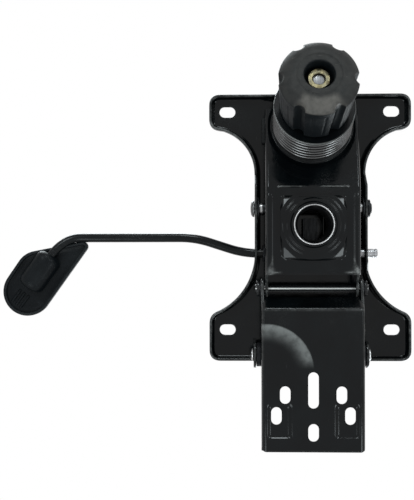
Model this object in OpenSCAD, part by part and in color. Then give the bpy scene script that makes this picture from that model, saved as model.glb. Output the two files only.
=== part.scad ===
// Office chair tilt mechanism: seat plate, housing on a gas-lift socket, back bracket,
// tension knob with its spring, and a height and lock lever.
// Millimetres. Origin: gas-lift axis at the socket's lower rim. +Z up to the seat,
// -Y to the front of the chair, -X to the lever's side.

/* [Sheet] */
// Thickness of the pressed steel sheet
sheet = 2.5; // [1.5:0.1:3.5]

/* [Seat plate] */
// Width across the ears
seat_w = 183; // [170:1:200]
// Front edge ahead of the gas-lift axis
seat_front = 120; // [116:1:130]
// Rear edge behind the gas-lift axis
seat_rear = 122.7; // [116:0.1:132]
// Height of the plate's underside above the socket rim
seat_under = 64; // [62:0.5:70]
// Radius of the ears' outer corners
ear_corner_r = 8.5; // [4:0.5:11]
// Width across the waist walls
waist_w = 100.6; // [99:0.2:106]
// Where the straight waist starts, ahead of the axis
waist_front = 48; // [42:1:54]
// Where the straight waist ends, behind the axis
waist_rear = 25; // [20:1:32]
// Radius of the front ear's hollow edge
front_arc_r = 40.5; // [36:0.5:46]
// Radius of the rear ear's hollow edge
rear_arc_r = 58; // [50:1:66]
// Depth of the rim under the plate
rim_h = 10; // [6:0.5:11]
// Depth of the waist walls under the plate
waist_h = 26; // [23:0.5:28]
// Depth of the two beads pressed down into the plate
bead_depth = 2; // [1:0.5:2.5]

/* [Seat bolt slots] */
// Spacing of the seat bolts across the chair
slot_dx = 150; // [140:1:156]
// Spacing of the seat bolts along the chair
slot_dy = 200; // [190:1:205]
// Front pair of slots ahead of the gas-lift axis
slot_front = 105; // [100:1:108]
// Width of a slot
slot_w = 9.5; // [7:0.5:10.5]
// Length of a slot, across the chair
slot_l = 14.5; // [12:0.5:17]

/* [Housing] */
// Width over the housing walls
housing_w = 82.4; // [80:0.2:83]
// Front edge of the housing ahead of the axis
housing_front = 104; // [100:1:106]
// Crease between floor and sloped panel, ahead of the axis
crease_y = 33; // [31:1:36]
// Rear edge of the floor behind the axis
floor_rear = 41; // [39:1:43]
// Height of the floor's lower face above the rim
floor_z = 12; // [10:0.5:14]
// Height of the wall tops above the rim
housing_top = 58; // [57:0.5:58.5]
// Tilt of the tension bolt and slope of the panel, degrees
bolt_tilt = 19; // [17:0.5:21]
// Radius of the pressed boss where it leaves the floor
boss_r = 27.5; // [25:0.5:30]

/* [Gas-lift socket] */
// Outside radius of the socket tube
socket_r = 17.5; // [16.5:0.1:18.5]
// Radius of the taper at the mouth
taper_mouth_r = 14.2; // [14:0.05:14.6]
// Radius of the straight land at the top of the taper
land_r = 13.6; // [13.2:0.05:13.8]
// Length of the straight land
land_l = 12; // [8:0.5:14]
// Length of the socket tube
socket_l = 42.5; // [40:0.5:42.5]

/* [Pivots] */
// Seat pivot ahead of the axis
pivot_y = 15.5; // [14:0.5:18]
// Seat pivot above the rim
pivot_z = 48; // [46:0.5:50]
// Diameter of the seat pivot pin
pivot_d = 10; // [8:0.5:11]
// Back pivot rod behind the axis
back_y = 56; // [54:0.5:58]
// Back pivot rod above the rim
back_z = 36; // [34:0.5:38]
// Diameter of the back pivot rod
back_rod_d = 8; // [6:0.5:9]
// Rear link pins behind the axis
link_y = 116; // [112:0.5:118]
// Rear link pins above the rim
link_z = 48; // [46:0.5:50]
// Diameter of the rear link pins
link_d = 9; // [7:0.5:10]
// Radial running clearance of a pin in its bush
run_gap = 0.05; // [0.02:0.01:0.1]
// Clearance between flat faces that pass each other
side_gap = 0.3; // [0.2:0.05:0.5]

/* [Back bracket] */
// Width over the bracket walls
bracket_w = 90; // [89:0.2:91]
// Front edge of the bracket plate behind the axis
bracket_front = 73; // [71:0.5:76]
// Rear edge of the bracket plate behind the axis
bracket_rear = 197.4; // [190:0.2:204]
// Height of the bracket's lower face above the rim
bracket_z = 14; // [12:0.5:16]
// Depth of the bracket walls at the rear end
bracket_wall = 14; // [10:0.5:18]
// Width of the bracket slots
back_slot_w = 9.2; // [7:0.2:10]
// Length of the short bracket slots
back_slot_l = 15.3; // [13:0.1:17]
// Length of the long bracket slot
back_long_l = 31.5; // [26:0.5:36]

/* [Tension knob and spring] */
// Distance of the bolt from the axis, where it meets the panel
bolt_y = 87.4; // [85:0.2:90]
// Diameter of the tension bolt
bolt_d = 10; // [8:0.5:11]
// Outside diameter of the coil spring
spring_d = 70; // [64:0.5:72]
// Diameter of the spring wire
wire_d = 3.3; // [2.8:0.1:3.6]
// Turns of the spring
spring_turns = 6; // [5:0.5:6.5]
// Length of the spring at rest
spring_l = 33.5; // [32:0.5:36]
// Diameter of the knob at its rim
knob_d = 66; // [60:0.5:70]
// Diameter of the knob at its base
knob_base_d = 59; // [54:0.5:62]
// Height of the knob's side, from its base to its rim
knob_h = 48.5; // [45:0.5:53]
// Height of the crowned face above the rim
knob_crown = 8.5; // [6:0.5:10]
// Number of flutes round the knob
knob_flutes = 6; // [4:1:10]
// Radius of a flute
flute_r = 5; // [3.5:0.5:7]
// Diameter of the recess round the nut
recess_d = 24.5; // [22:0.5:28]
// Depth of the recess round the nut
recess_h = 16.5; // [14:0.5:18]
// Width across the nut's flats
nut_af = 17; // [15:0.5:18]

/* [Lever] */
// Diameter of the lever rod
lever_d = 8; // [6:0.5:9]
// Lever rod behind the axis
lever_y = 24.8; // [23:0.2:27]
// Lever rod above the rim
lever_z = 50; // [49.5:0.1:51]
// Bare end of the rod left outside the waist wall when it is pulled out
lever_tail = 2.7; // [1:0.1:6]
// Travel of the lever from pushed in to pulled out
lever_travel = 7; // [5:0.5:8]
// Thickness of the paddle's skin
paddle_t = 3; // [2:0.5:4]
// Depth of the paddle's edge lip
paddle_lip = 4; // [2:0.5:5]

/* [Hidden] */
$fn = 96;
paint = "#17181a";
zinc = "#c9ccd0";
yellow_zinc = "#b59b52";
plastic = "#2b2c2e";
nylon = "#202123";
rubber = "#1d1d1d";
// Overlap of joined shapes, reach of a cutter past the metal, and gap of a fixed fit
eps = 0.01;
over = 1;
fixed_gap = 0.02;
seat_top = seat_under + sheet;
wall_out = waist_w / 2;
wall_in = wall_out - sheet;
house_out = housing_w / 2;
house_in = house_out - sheet;
bracket_out = bracket_w / 2;
bracket_in = bracket_out - sheet;
pivot = [-pivot_y, pivot_z];
back = [back_y, back_z];
link = [link_y, link_z];
lever = [lever_y, lever_z];
panel_rise = tan(bolt_tilt);
panel_z = floor_z + (bolt_y - crease_y) * panel_rise;
front_z = floor_z + (housing_front - crease_y) * panel_rise;
// Beads in the seat plate
bead_x = 22;
bead_y = -14;
bead_l = 76;
bead_w = 12;
// Ends of the waist walls, behind the straight waist and up to the rim
waist_past = 7;
waist_ramp = [12, 10];
// Clearance of the lever rod in the waist walls, and the way it takes up when the seat tilts
lever_clear = 1;
lever_rise = 5;
// Rear link lug on the seat plate
lug_joggle = 1.2;
lug_in = wall_in + lug_joggle;
lug_r = 12;
lug_slide = 2;
lug_drop = 0.15;
lug_gap = 0.5;
// Rear wall of the housing, and its boss: low rim round the socket, then a shoulder to the floor
rear_wall_h = 20;
boss_low = 3;
boss_lip = 2;
boss_shoulder = [5.5, 3.5];
rim_bevel = 0.6;
// Round tongue of the panel under the spring: set into the sheet on both faces, and past the spring
tongue_set = 0.3;
tongue_past = 2;
// Stop pads on the housing's front wall tops
pad_from = 6;
pad_l = 22;
pad_wall = 2;
pad_grip = 5;
// Wall of the back pivot ears, and the round bosses on the bracket walls
ear_r = 8.5;
bracket_ear_r = 9;
link_boss_r = 10;
// Bent front lip of the bracket, and the slope of its walls behind the link
lip_run = [9.5, 13];
lip_edge = [2.2, 1.2];
wall_ramp = [12, 6];
// Middles of the bracket's slots, ahead of its rear edge, and off the middle plane
slot_long = 53.6;
slot_last = 16.8;
slot_inner = [24.5, 49.5];
slot_outer = [32.1, 31.1];
// Bushes, clips and washers
bush_wall = 2;
bush_flange = 3;
bush_flange_t = 1.5;
lever_flange = 1.5;
back_flange_t = 1;
clip_r = 7;
clip_t = 2.5;
pin_tail = 1.5;
head_r = 7.5;
head_t = 2.8;
spacer_r = 10.8;
link_head_r = 5.6;
link_head_t = 2.5;
// Tension column, measured down the bolt from the panel's lower face
seat_ring_t = 1.5;
spring_top = seat_ring_t + spring_l;
plate_t = 2.5;
plate_lip = 4;
knob_base = spring_top + plate_t + side_gap;
knob_face = knob_base + knob_h + knob_crown;
nut_h = 8;
bolt_sunk = 2.3;
flute_set = 0.1 * flute_r;
face_r = 18.5;
crown_steps = 10;
knob_lean = atan((knob_d - knob_base_d) / 2 / knob_h);
nut_base = knob_face - recess_h;
bolt_end = nut_base + nut_h - bolt_sunk;
coil_sides = 6;
coil_rings = 24;
// Anchor of the bolt on the seat plate, under its front
saddle_depth = 14;
saddle_top = seat_under - saddle_depth;
saddle_t = 3;
saddle_l = 30;
saddle_w = 40;
saddle_play = 3.5;
rocker_r = 6;
rocker_w = 26;
anchor_z = saddle_top + rocker_r + side_gap;
anchor_s = (panel_z - anchor_z) / cos(bolt_tilt);
anchor_y = -bolt_y - anchor_s * sin(bolt_tilt);
saddle_hole_r = bolt_d / 2 + saddle_play;
saddle_shift = 2.1;
// Lever route from the housing to the paddle, and the paddle's round corners
lever_route = [
    [-45, lever_y, lever_z],
    [-60, lever_y, lever_z],
    [-104, 10.6, 47],
    [-216, 10.6, 43],
    [-230, 20.5, 42],
    [-254.5, 54, 42]
];
lever_cut = 8;
lever_sides = 16;
paddle_corners = [[-256, 59, 22], [-246, 43.5, 21.5], [-205.5, 18.5, 4.5]];
paddle_z = lever_route[5][2] + lever_d / 2;
sleeve_r = 12;
sleeve_past = 2.6;
// Lock pawl and valve finger on the lever
pawl_x = 26;
pawl_w = 8;
pawl_h = 15;
pawl_cut = 2;
collar_t = 2;
collar_wall = 2.5;
finger_w = 13;
finger_t = 3;
finger_past = 7;
finger_reach = lever_y + finger_past;

// A flat shape drawn in (Y, Z), from x0 to x1 along X
module side_sheet(x0, x1) {
    translate([x0, 0, 0]) rotate([90, 0, 90]) linear_extrude(x1 - x0) children();
}

// The same flat shape on both sides of the middle plane
module both_sides(x0, x1) {
    for (side = [0, 1]) mirror([side, 0, 0]) side_sheet(x0, x1) children();
}

// A round bar along X at a (Y, Z) place
module cross_bar(place, r, x0, x1) {
    translate([x0, place[0], place[1]]) rotate([0, 90, 0]) cylinder(r = r, h = x1 - x0);
}

// Children stand on the bolt's line, with their +Z down the bolt, s below the panel's lower face
module on_bolt(s) {
    translate([0, -bolt_y - s * sin(bolt_tilt), panel_z - s * cos(bolt_tilt)])
        rotate([180 - bolt_tilt, 0, 0]) children();
}

// A flat slot of length l and width w, along X, centred
module slot(l, w) {
    square([l - w, w], center = true);
    for (end = [-1, 1]) translate([end * (l - w) / 2, 0]) circle(d = w);
}

// A round bar from p to q
module bar(p, q, r) {
    v = q - p;
    l = norm(v);
    translate(p) rotate([0, acos(v[2] / l), atan2(v[1], v[0])]) cylinder(r = r, h = l);
}

// The lever's centre line, with each corner rounded, and a ring of points round it at radius r
function unit(v) = v / norm(v);
function rounded(a, p, b) = let (s = p + unit(a - p) * lever_cut, e = p + unit(b - p) * lever_cut)
    [for (t = [0 : 1 / 6 : 1]) (1 - t) * (1 - t) * s + 2 * t * (1 - t) * p + t * t * e];
lever_last = len(lever_route) - 1;
lever_line = concat(
    [lever_route[0]],
    [for (i = [1 : lever_last - 1]) each rounded(lever_route[i - 1], lever_route[i], lever_route[i + 1])],
    [lever_route[lever_last]]
);
lever_n = len(lever_line);
function lever_along(i) = unit(lever_line[min(i + 1, lever_n - 1)] - lever_line[max(i - 1, 0)]);
function lever_ring(i, r) = let (
    along = lever_along(i),
    aside = unit(cross(along, [0, 0, 1])),
    up = cross(aside, along)
) [for (k = [0 : lever_sides - 1]) let (a = k * 360 / lever_sides)
    lever_line[i] + r * (aside * cos(a) + up * sin(a))];
lever_skin = [for (i = [0 : lever_n - 2], k = [0 : lever_sides - 1])
    let (m = (k + 1) % lever_sides, p = i * lever_sides, q = p + lever_sides)
    each [[p + k, p + m, q + m], [p + k, q + m, q + k]]];
lever_caps = [for (k = [1 : lever_sides - 2]) each [
    [0, k + 1, k],
    [(lever_n - 1) * lever_sides, (lever_n - 1) * lever_sides + k, (lever_n - 1) * lever_sides + k + 1]
]];

// The lever rod's bent part at radius r
module lever_bends(r) {
    polyhedron(
        points = [for (i = [0 : lever_n - 1]) each lever_ring(i, r)],
        faces = concat(lever_skin, lever_caps)
    );
}

// A rectangle with round corners, between two corner points
module round_box(low, high, r) {
    translate([low[0] + r, low[1]]) square([high[0] - low[0] - 2 * r, high[1] - low[1]]);
    translate([low[0], low[1] + r]) square([high[0] - low[0], high[1] - low[1] - 2 * r]);
    for (x = [low[0] + r, high[0] - r], y = [low[1] + r, high[1] - r]) translate([x, y]) circle(r = r);
}

// Outline of the seat plate, drawn in by inset
module seat_outline(inset) {
    half = seat_w / 2 - inset;
    difference() {
        round_box([-half, -seat_front + inset], [half, seat_rear - inset], ear_corner_r - inset);
        for (side = [-1, 1]) {
            translate([side * (wall_out + front_arc_r), -waist_front]) circle(r = front_arc_r + inset);
            translate([side * (wall_out + rear_arc_r), waist_rear]) circle(r = rear_arc_r + inset);
            translate([side * (wall_out - inset + seat_w / 2), (waist_rear - waist_front) / 2])
                square([seat_w, waist_rear + waist_front], center = true);
        }
    }
}

// Plan of the two beads that stiffen the plate, grown by wall
module bead_plan(wall) {
    for (side = [-1, 1]) translate([side * bead_x, bead_y]) rotate(90)
        slot(bead_l + 2 * wall, bead_w + 2 * wall);
}

module seat_plate() {
    waist_end = waist_rear + waist_past + waist_ramp[1];
    lug_cut = lug_in + sheet + over;
    color(paint) difference() {
        union() {
            translate([0, 0, seat_under]) linear_extrude(sheet) seat_outline(0);
            translate([0, 0, seat_under - rim_h]) linear_extrude(rim_h) difference() {
                seat_outline(0);
                seat_outline(sheet);
            }
            translate([0, 0, seat_under - bead_depth]) linear_extrude(bead_depth + eps) bead_plan(sheet);
            both_sides(wall_in, wall_out) polygon([
                [-waist_front, seat_under + eps], [-waist_front, seat_under - rim_h],
                [-waist_front + waist_ramp[0], seat_under - waist_h], [waist_rear + waist_past, seat_under - waist_h],
                [waist_end, seat_under - rim_h], [waist_end, seat_under + eps]
            ]);
            both_sides(lug_in, lug_in + sheet) {
                translate([link_y - lug_r, link_z]) square([2 * lug_r, seat_under + eps - link_z]);
                translate(link) circle(r = lug_r);
            }
        }
        for (x = [-1, 1], y = [-slot_front, slot_dy - slot_front])
            translate([x * slot_dx / 2, y, seat_under - over]) linear_extrude(sheet + 2 * over) slot(slot_l, slot_w);
        translate([-lug_in, seat_rear - 2 * sheet, seat_under - rim_h - over])
            cube([2 * lug_in, 2 * sheet + over, rim_h + over]);
        cross_bar(pivot, pivot_d / 2 + run_gap + bush_wall, -wall_out - over, wall_out + over);
        both_sides(wall_in - over, wall_out + over) translate(lever + [0, lever_rise / 2]) rotate(90)
            slot(lever_d + lever_rise + 2 * lever_clear, lever_d + 2 * lever_clear);
        both_sides(lug_in - over, lug_cut) translate(link + [lug_slide / 2, lug_drop])
            slot(link_d + lug_slide + 2 * lug_gap, link_d + 2 * lug_gap);
        translate([0, 0, seat_top - bead_depth]) linear_extrude(bead_depth + over) bead_plan(0);
    }
}

// Bridge under the front of the seat plate that lifts the tension bolt's head
module anchor_saddle() {
    color(paint) translate([0, anchor_y - saddle_shift, saddle_top - saddle_t]) difference() {
        union() {
            translate([-saddle_w / 2, -saddle_l / 2, 0]) cube([saddle_w, saddle_l, saddle_t]);
            for (x = [-saddle_w / 2, saddle_w / 2 - sheet])
                translate([x, -saddle_l / 2, 0]) cube([sheet, saddle_l, seat_under - saddle_top + saddle_t]);
        }
        translate([0, 0, -over]) cylinder(r = saddle_hole_r, h = saddle_t + 2 * over);
    }
}

// Nylon bushes of the seat pivot, one in each waist wall
module tilt_bushes() {
    bore = pivot_d / 2 + run_gap;
    color(nylon) for (side = [0, 1]) mirror([side, 0, 0]) difference() {
        union() {
            cross_bar(pivot, bore + bush_wall - fixed_gap, wall_in, wall_out + eps);
            cross_bar(pivot, bore + bush_wall + bush_flange, wall_in - bush_flange_t, wall_in);
        }
        cross_bar(pivot, bore, wall_in - bush_flange_t - over, wall_out + over);
    }
}

// Floor, sloped front panel and rear wall of the housing as one bent strip in (Y, Z)
module housing_strip() {
    lift = sheet / cos(bolt_tilt);
    polygon([
        [-crease_y, floor_z], [-housing_front, front_z], [-housing_front, front_z + lift],
        [-crease_y + sheet * tan(bolt_tilt / 2), floor_z + sheet], [floor_rear + sheet, floor_z + sheet],
        [floor_rear + sheet, floor_z]
    ]);
    translate([floor_rear, floor_z]) square([sheet, rear_wall_h]);
    translate([-housing_front, front_z]) square([sheet, housing_top - front_z]);
}

module tilt_housing() {
    cut = house_out + over;
    color(paint) difference() {
        union() {
            side_sheet(-house_out, house_out) housing_strip();
            both_sides(house_in, house_out) {
                polygon([
                    [-crease_y, floor_z], [-housing_front, front_z], [-housing_front, housing_top],
                    [pivot_y, housing_top], [back_y, back_z + ear_r], [back_y + ear_r * 0.6, back_z - ear_r * 0.8],
                    [floor_rear + sheet, floor_z]
                ]);
                translate(back) circle(r = ear_r);
            }
            on_bolt(tongue_set - sheet) cylinder(d = spring_d + tongue_past, h = sheet - 2 * tongue_set);
            rotate_extrude() polygon([
                [socket_r, boss_low], [socket_r + boss_lip, boss_low],
                [socket_r + boss_shoulder[0], floor_z - boss_shoulder[1]], [boss_r, floor_z],
                [boss_r, floor_z + sheet], [socket_r, floor_z + sheet]
            ]);
        }
        translate([0, 0, -over]) cylinder(r = socket_r + fixed_gap, h = floor_z + sheet + 2 * over);
        on_bolt(-2 * sheet) cylinder(r = bolt_d / 2 + over, h = 3 * sheet);
        cross_bar(pivot, pivot_d / 2 + fixed_gap, -cut, cut);
        cross_bar(back, back_rod_d / 2 + fixed_gap, -cut, cut);
        cross_bar(lever, lever_d / 2 + run_gap + bush_wall, -cut, cut);
    }
}

// Tapered tube that the gas lift pushes into, with a straight land at the top
module taper_socket() {
    color(zinc) rotate_extrude() polygon([
        [taper_mouth_r, 0], [socket_r - rim_bevel, 0], [socket_r, rim_bevel], [socket_r, socket_l],
        [land_r, socket_l], [land_r, socket_l - land_l]
    ]);
}

module tilt_pivot_pin() {
    color(zinc) {
        cross_bar(pivot, pivot_d / 2, -wall_out - side_gap, wall_out + side_gap + clip_t + pin_tail);
        cross_bar(pivot, head_r, -wall_out - side_gap - head_t, -wall_out - side_gap);
    }
}

module pivot_clip() {
    color(zinc) difference() {
        cross_bar(pivot, clip_r + 1, wall_out + side_gap, wall_out + side_gap + clip_t);
        cross_bar(pivot, pivot_d / 2 + fixed_gap, wall_out, wall_out + side_gap + clip_t + over);
    }
}

module back_pivot_rod() {
    reach = bracket_out + back_flange_t + side_gap + clip_t + pin_tail;
    color(zinc) cross_bar(back, back_rod_d / 2, -reach, reach);
}

module back_rod_clips() {
    start = bracket_out + back_flange_t + side_gap;
    color(zinc) for (side = [0, 1]) mirror([side, 0, 0]) difference() {
        cross_bar(back, clip_r, start, start + clip_t);
        cross_bar(back, back_rod_d / 2 + fixed_gap, start - over, start + clip_t + over);
    }
}

// Nylon bushes that the lever rod turns and slides in, one in each housing wall
module lever_bushes() {
    bore = lever_d / 2 + run_gap;
    color(nylon) for (side = [0, 1]) mirror([side, 0, 0]) difference() {
        union() {
            cross_bar(lever, bore + bush_wall - fixed_gap, house_in - over, house_out);
            cross_bar(lever, bore + bush_wall + lever_flange, house_out, house_out + lever_flange);
        }
        cross_bar(lever, bore, house_in - 2 * over, house_out + 2 * lever_flange);
    }
}

// Ring that seats the spring on the sloped panel
module spring_seat() {
    color(rubber) on_bolt(0) difference() {
        cylinder(d = spring_d, h = seat_ring_t);
        translate([0, 0, -over]) cylinder(d = spring_d - 5 * wire_d, h = seat_ring_t + 2 * over);
    }
}

// Points of the spring's centre line and of its wire, down the bolt
coil_r = (spring_d - wire_d) / 2;
coil_n = round(spring_turns * coil_rings);
coil_run = spring_l - wire_d - 2 * side_gap;
coil_pitch = coil_run / spring_turns;
function coil_at(i) = [
    coil_r * cos(i * 360 / coil_rings),
    coil_r * sin(i * 360 / coil_rings),
    wire_d / 2 + side_gap + i * coil_run / coil_n
];
function coil_ring(i) = [for (k = [0 : coil_sides - 1])
    let (turn = i * 360 / coil_rings, a = k * 360 / coil_sides, r = coil_r + wire_d / 2 * cos(a))
    [r * cos(turn), r * sin(turn), coil_at(i)[2] + wire_d / 2 * sin(a)]];
coil_points = [for (i = [0 : coil_n]) each coil_ring(i)];
coil_sides_faces = [for (i = [0 : coil_n - 1], k = [0 : coil_sides - 1])
    let (m = (k + 1) % coil_sides, p = i * coil_sides, q = p + coil_sides)
    each [[p + k, q + m, p + m], [p + k, q + k, q + m]]];
coil_caps = [for (k = [1 : coil_sides - 2]) each [
    [0, k, k + 1],
    [coil_n * coil_sides, coil_n * coil_sides + k + 1, coil_n * coil_sides + k]
]];
coil_self_gap = min([for (i = [0 : coil_n - coil_rings / 2], j = [i + coil_rings / 2 : min(coil_n, i + 2 * coil_rings)])
    norm(coil_at(i) - coil_at(j)) - wire_d]);

module tension_spring() {
    echo(coil_self_gap = coil_self_gap);
    color(paint) on_bolt(seat_ring_t)
        polyhedron(points = coil_points, faces = concat(coil_sides_faces, coil_caps));
}

// Rubber strips on the housing's front wall tops, where the seat plate stops
module stop_pads() {
    color(rubber) for (side = [0, 1]) mirror([side, 0, 0]) difference() {
        translate([house_in - pad_wall, -housing_front + pad_from, housing_top - pad_grip])
            cube([sheet + 2 * pad_wall, pad_l, seat_under - side_gap - housing_top + pad_grip]);
        translate([house_in - fixed_gap, -housing_front, housing_top - 2 * pad_grip])
            cube([sheet + 2 * fixed_gap, 2 * pad_l, 2 * pad_grip]);
    }
}

// Plate, bent front lip and walls of the back bracket
module back_bracket() {
    lip = [bracket_front - lip_run[0], bracket_z + lip_run[1]];
    cut = bracket_out + over;
    color(paint) difference() {
        union() {
            side_sheet(-bracket_out, bracket_out) polygon([
                [bracket_front, bracket_z], [bracket_rear, bracket_z], [bracket_rear, bracket_z + sheet],
                [bracket_front + lip_edge[1], bracket_z + sheet], lip + lip_edge, lip
            ]);
            both_sides(bracket_in, bracket_out) {
                polygon([
                    [bracket_front, bracket_z], [bracket_rear, bracket_z], [bracket_rear, bracket_z + bracket_wall],
                    [link_y + link_boss_r + wall_ramp[0], bracket_z + bracket_wall + wall_ramp[1]], [link_y + link_boss_r, link_z],
                    [link_y, link_z + link_boss_r], [link_y - link_boss_r, link_z],
                    [back_y, back_z + bracket_ear_r], [back_y - bracket_ear_r * 0.6, back_z - bracket_ear_r * 0.8]
                ]);
                translate(back) circle(r = bracket_ear_r);
                translate(link) circle(r = link_boss_r);
            }
        }
        translate([0, 0, bracket_z - over]) linear_extrude(sheet + 2 * over) back_slots();
        cross_bar(back, back_rod_d / 2 + run_gap + bush_wall, -cut, cut);
        cross_bar(link, link_d / 2 + fixed_gap, -cut, cut);
    }
}

// The bracket's bolt slots, all along Y
module back_slots() {
    translate([0, bracket_rear - slot_long]) rotate(90) slot(back_long_l, back_slot_w);
    translate([0, bracket_rear - slot_last]) rotate(90) slot(back_slot_l, back_slot_w);
    for (side = [-1, 1], at = [slot_inner, slot_outer])
        translate([side * at[0], bracket_rear - at[1]]) rotate(90) slot(back_slot_l, back_slot_w);
}

// Nylon bushes of the back pivot, one in each bracket wall
module back_bushes() {
    bore = back_rod_d / 2 + run_gap;
    color(nylon) for (side = [0, 1]) mirror([side, 0, 0]) difference() {
        union() {
            cross_bar(back, bore + bush_wall - fixed_gap, bracket_in, bracket_out);
            cross_bar(back, bore + bush_wall + back_flange_t, bracket_out, bracket_out + back_flange_t);
        }
        cross_bar(back, bore, bracket_in - over, bracket_out + back_flange_t + over);
    }
}

module rear_link_pins() {
    head = lug_in + sheet + side_gap;
    color(zinc) for (side = [0, 1]) mirror([side, 0, 0]) {
        cross_bar(link, link_d / 2, bracket_in - over, head);
        cross_bar(link, link_head_r, head, head + link_head_t);
    }
}

module rear_spacers() {
    color(plastic) for (side = [0, 1]) mirror([side, 0, 0]) difference() {
        cross_bar(link, spacer_r, bracket_out, lug_in - side_gap);
        cross_bar(link, link_d / 2 + fixed_gap, bracket_out - over, lug_in + over);
    }
}

module tension_bolt() {
    color(zinc) {
        on_bolt(anchor_s) cylinder(d = bolt_d, h = bolt_end - anchor_s);
        on_bolt(anchor_s) rotate([0, 90, 0]) cylinder(r = rocker_r / 2, h = rocker_w, center = true);
    }
}

// Round rocker that the bolt's cross head lies in, on the saddle
module rocker_washer() {
    color(zinc) on_bolt(anchor_s) difference() {
        rotate([0, 90, 0]) cylinder(r = rocker_r, h = rocker_w - 2 * over, center = true);
        rotate([0, 90, 0]) cylinder(r = rocker_r / 2 + fixed_gap, h = rocker_w, center = true);
        translate([0, 0, -rocker_r]) cylinder(d = bolt_d + 2 * fixed_gap, h = 3 * rocker_r);
    }
}

// Steel plate between the spring and the knob
module spring_plate() {
    color(paint) on_bolt(spring_top) difference() {
        union() {
            cylinder(d = spring_d, h = plate_t);
            translate([0, 0, -plate_lip]) cylinder(d = spring_d - 3 * wire_d, h = plate_lip + eps);
        }
        translate([0, 0, -plate_lip]) cylinder(d = bolt_d + 4 * run_gap, h = plate_lip + plate_t + over);
        translate([0, 0, -plate_lip - over]) cylinder(d = spring_d - 6 * wire_d, h = plate_lip + over);
    }
}

// Half section of the knob: a flared side, then a face that falls from its flat middle to the rim
// as the square of the distance
function knob_section() = [
    [0, 0], [knob_base_d / 2, 0],
    for (i = [crown_steps : -1 : 0]) let (t = i / crown_steps)
        [face_r + (knob_d / 2 - face_r) * t, knob_h + knob_crown * (1 - t * t)],
    [0, knob_h + knob_crown]
];

module tension_knob() {
    color(plastic) on_bolt(knob_base) difference() {
        rotate_extrude() polygon(knob_section());
        for (i = [0 : knob_flutes - 1]) rotate(i * 360 / knob_flutes)
            translate([knob_base_d / 2 + flute_set, 0, 0]) rotate([0, knob_lean, 0])
                translate([0, 0, -2 * over]) cylinder(r = flute_r, h = knob_h + knob_crown + 2 * over);
        translate([0, 0, knob_h + knob_crown - recess_h]) cylinder(d = recess_d, h = recess_h + over);
        translate([0, 0, -over]) cylinder(d = bolt_d + 2 * side_gap, h = knob_h + 2 * over);
    }
}

module knob_nut() {
    color(yellow_zinc) on_bolt(nut_base) difference() {
        cylinder(d = nut_af / cos(30), h = nut_h, $fn = 6);
        translate([0, 0, -over]) cylinder(d = bolt_d + 4 * run_gap, h = nut_h + 2 * over);
    }
}

// Block that the lever carries along its rod to lock the tilt
module lock_pawl() {
    color(zinc) difference() {
        translate([pawl_x, lever_y - pawl_h / 2, lever_z - pawl_h / 2]) cube([pawl_w, pawl_h, pawl_h - pawl_cut]);
        cross_bar(lever, lever_d / 2 + run_gap, pawl_x - over, pawl_x + pawl_w + over);
    }
}

module lever_rod() {
    color(paint) {
        cross_bar(lever, lever_d / 2, lever_route[0][0] - over, wall_out + lever_travel + lever_tail);
        lever_bends(lever_d / 2 - fixed_gap);
    }
}

// Star rings that hold the pawl in place on the rod
module lever_collars() {
    color(zinc) for (x = [pawl_x - side_gap - collar_t, pawl_x + pawl_w + side_gap]) difference() {
        cross_bar(lever, lever_d / 2 + collar_wall, x, x + collar_t);
        cross_bar(lever, lever_d / 2 + fixed_gap, x - over, x + collar_t + over);
    }
}

// Finger on the rod that presses the gas lift's valve
module valve_finger() {
    color(zinc) difference() {
        union() {
            cross_bar(lever, lever_d / 2 + finger_t, -finger_w / 2, finger_w / 2);
            translate([-finger_w / 2, lever_y - finger_reach, lever_z])
                cube([finger_w, finger_reach, finger_t]);
        }
        cross_bar(lever, lever_d / 2 + fixed_gap, -finger_w, finger_w);
    }
}

// Paddle outline drawn in by inset
module paddle_outline(inset) {
    hull() for (c = paddle_corners) translate([c[0], c[1]]) circle(r = c[2] - inset, $fn = 48);
}

module lever_paddle() {
    color(plastic) difference() {
        union() {
            translate([0, 0, paddle_z]) linear_extrude(paddle_t) paddle_outline(0);
            translate([0, 0, paddle_z - paddle_lip]) linear_extrude(paddle_lip + eps) difference() {
                paddle_outline(0);
                paddle_outline(paddle_t);
            }
            intersection() {
                bar(lever_route[4], lever_route[5] + sleeve_past * unit(lever_route[5] - lever_route[4]), sleeve_r);
                translate([0, 0, paddle_z - 2 * sleeve_r]) linear_extrude(2 * sleeve_r + eps) paddle_outline(paddle_t / 2);
            }
        }
        lever_bends(lever_d / 2 + run_gap);
    }
}

tilt_housing();
taper_socket();
tilt_pivot_pin();
pivot_clip();
back_pivot_rod();
back_rod_clips();
lever_bushes();
spring_seat();
tension_spring();
stop_pads();
seat_plate();
anchor_saddle();
tilt_bushes();
back_bracket();
back_bushes();
rear_link_pins();
rear_spacers();
tension_bolt();
rocker_washer();
spring_plate();
tension_knob();
knob_nut();
lock_pawl();
lever_rod();
lever_collars();
valve_finger();
lever_paddle();
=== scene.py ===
"""Office chair tilt mechanism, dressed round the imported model.

Shapes are worked out in millimetres in the model's own frame and written in metres.
+Z goes up to the seat, -Y to the front of the chair, -X to the lever's side.
"""
import math

import bmesh
import bpy
import numpy as np
from mathutils import Matrix
from mathutils.geometry import delaunay_2d_cdt


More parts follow.
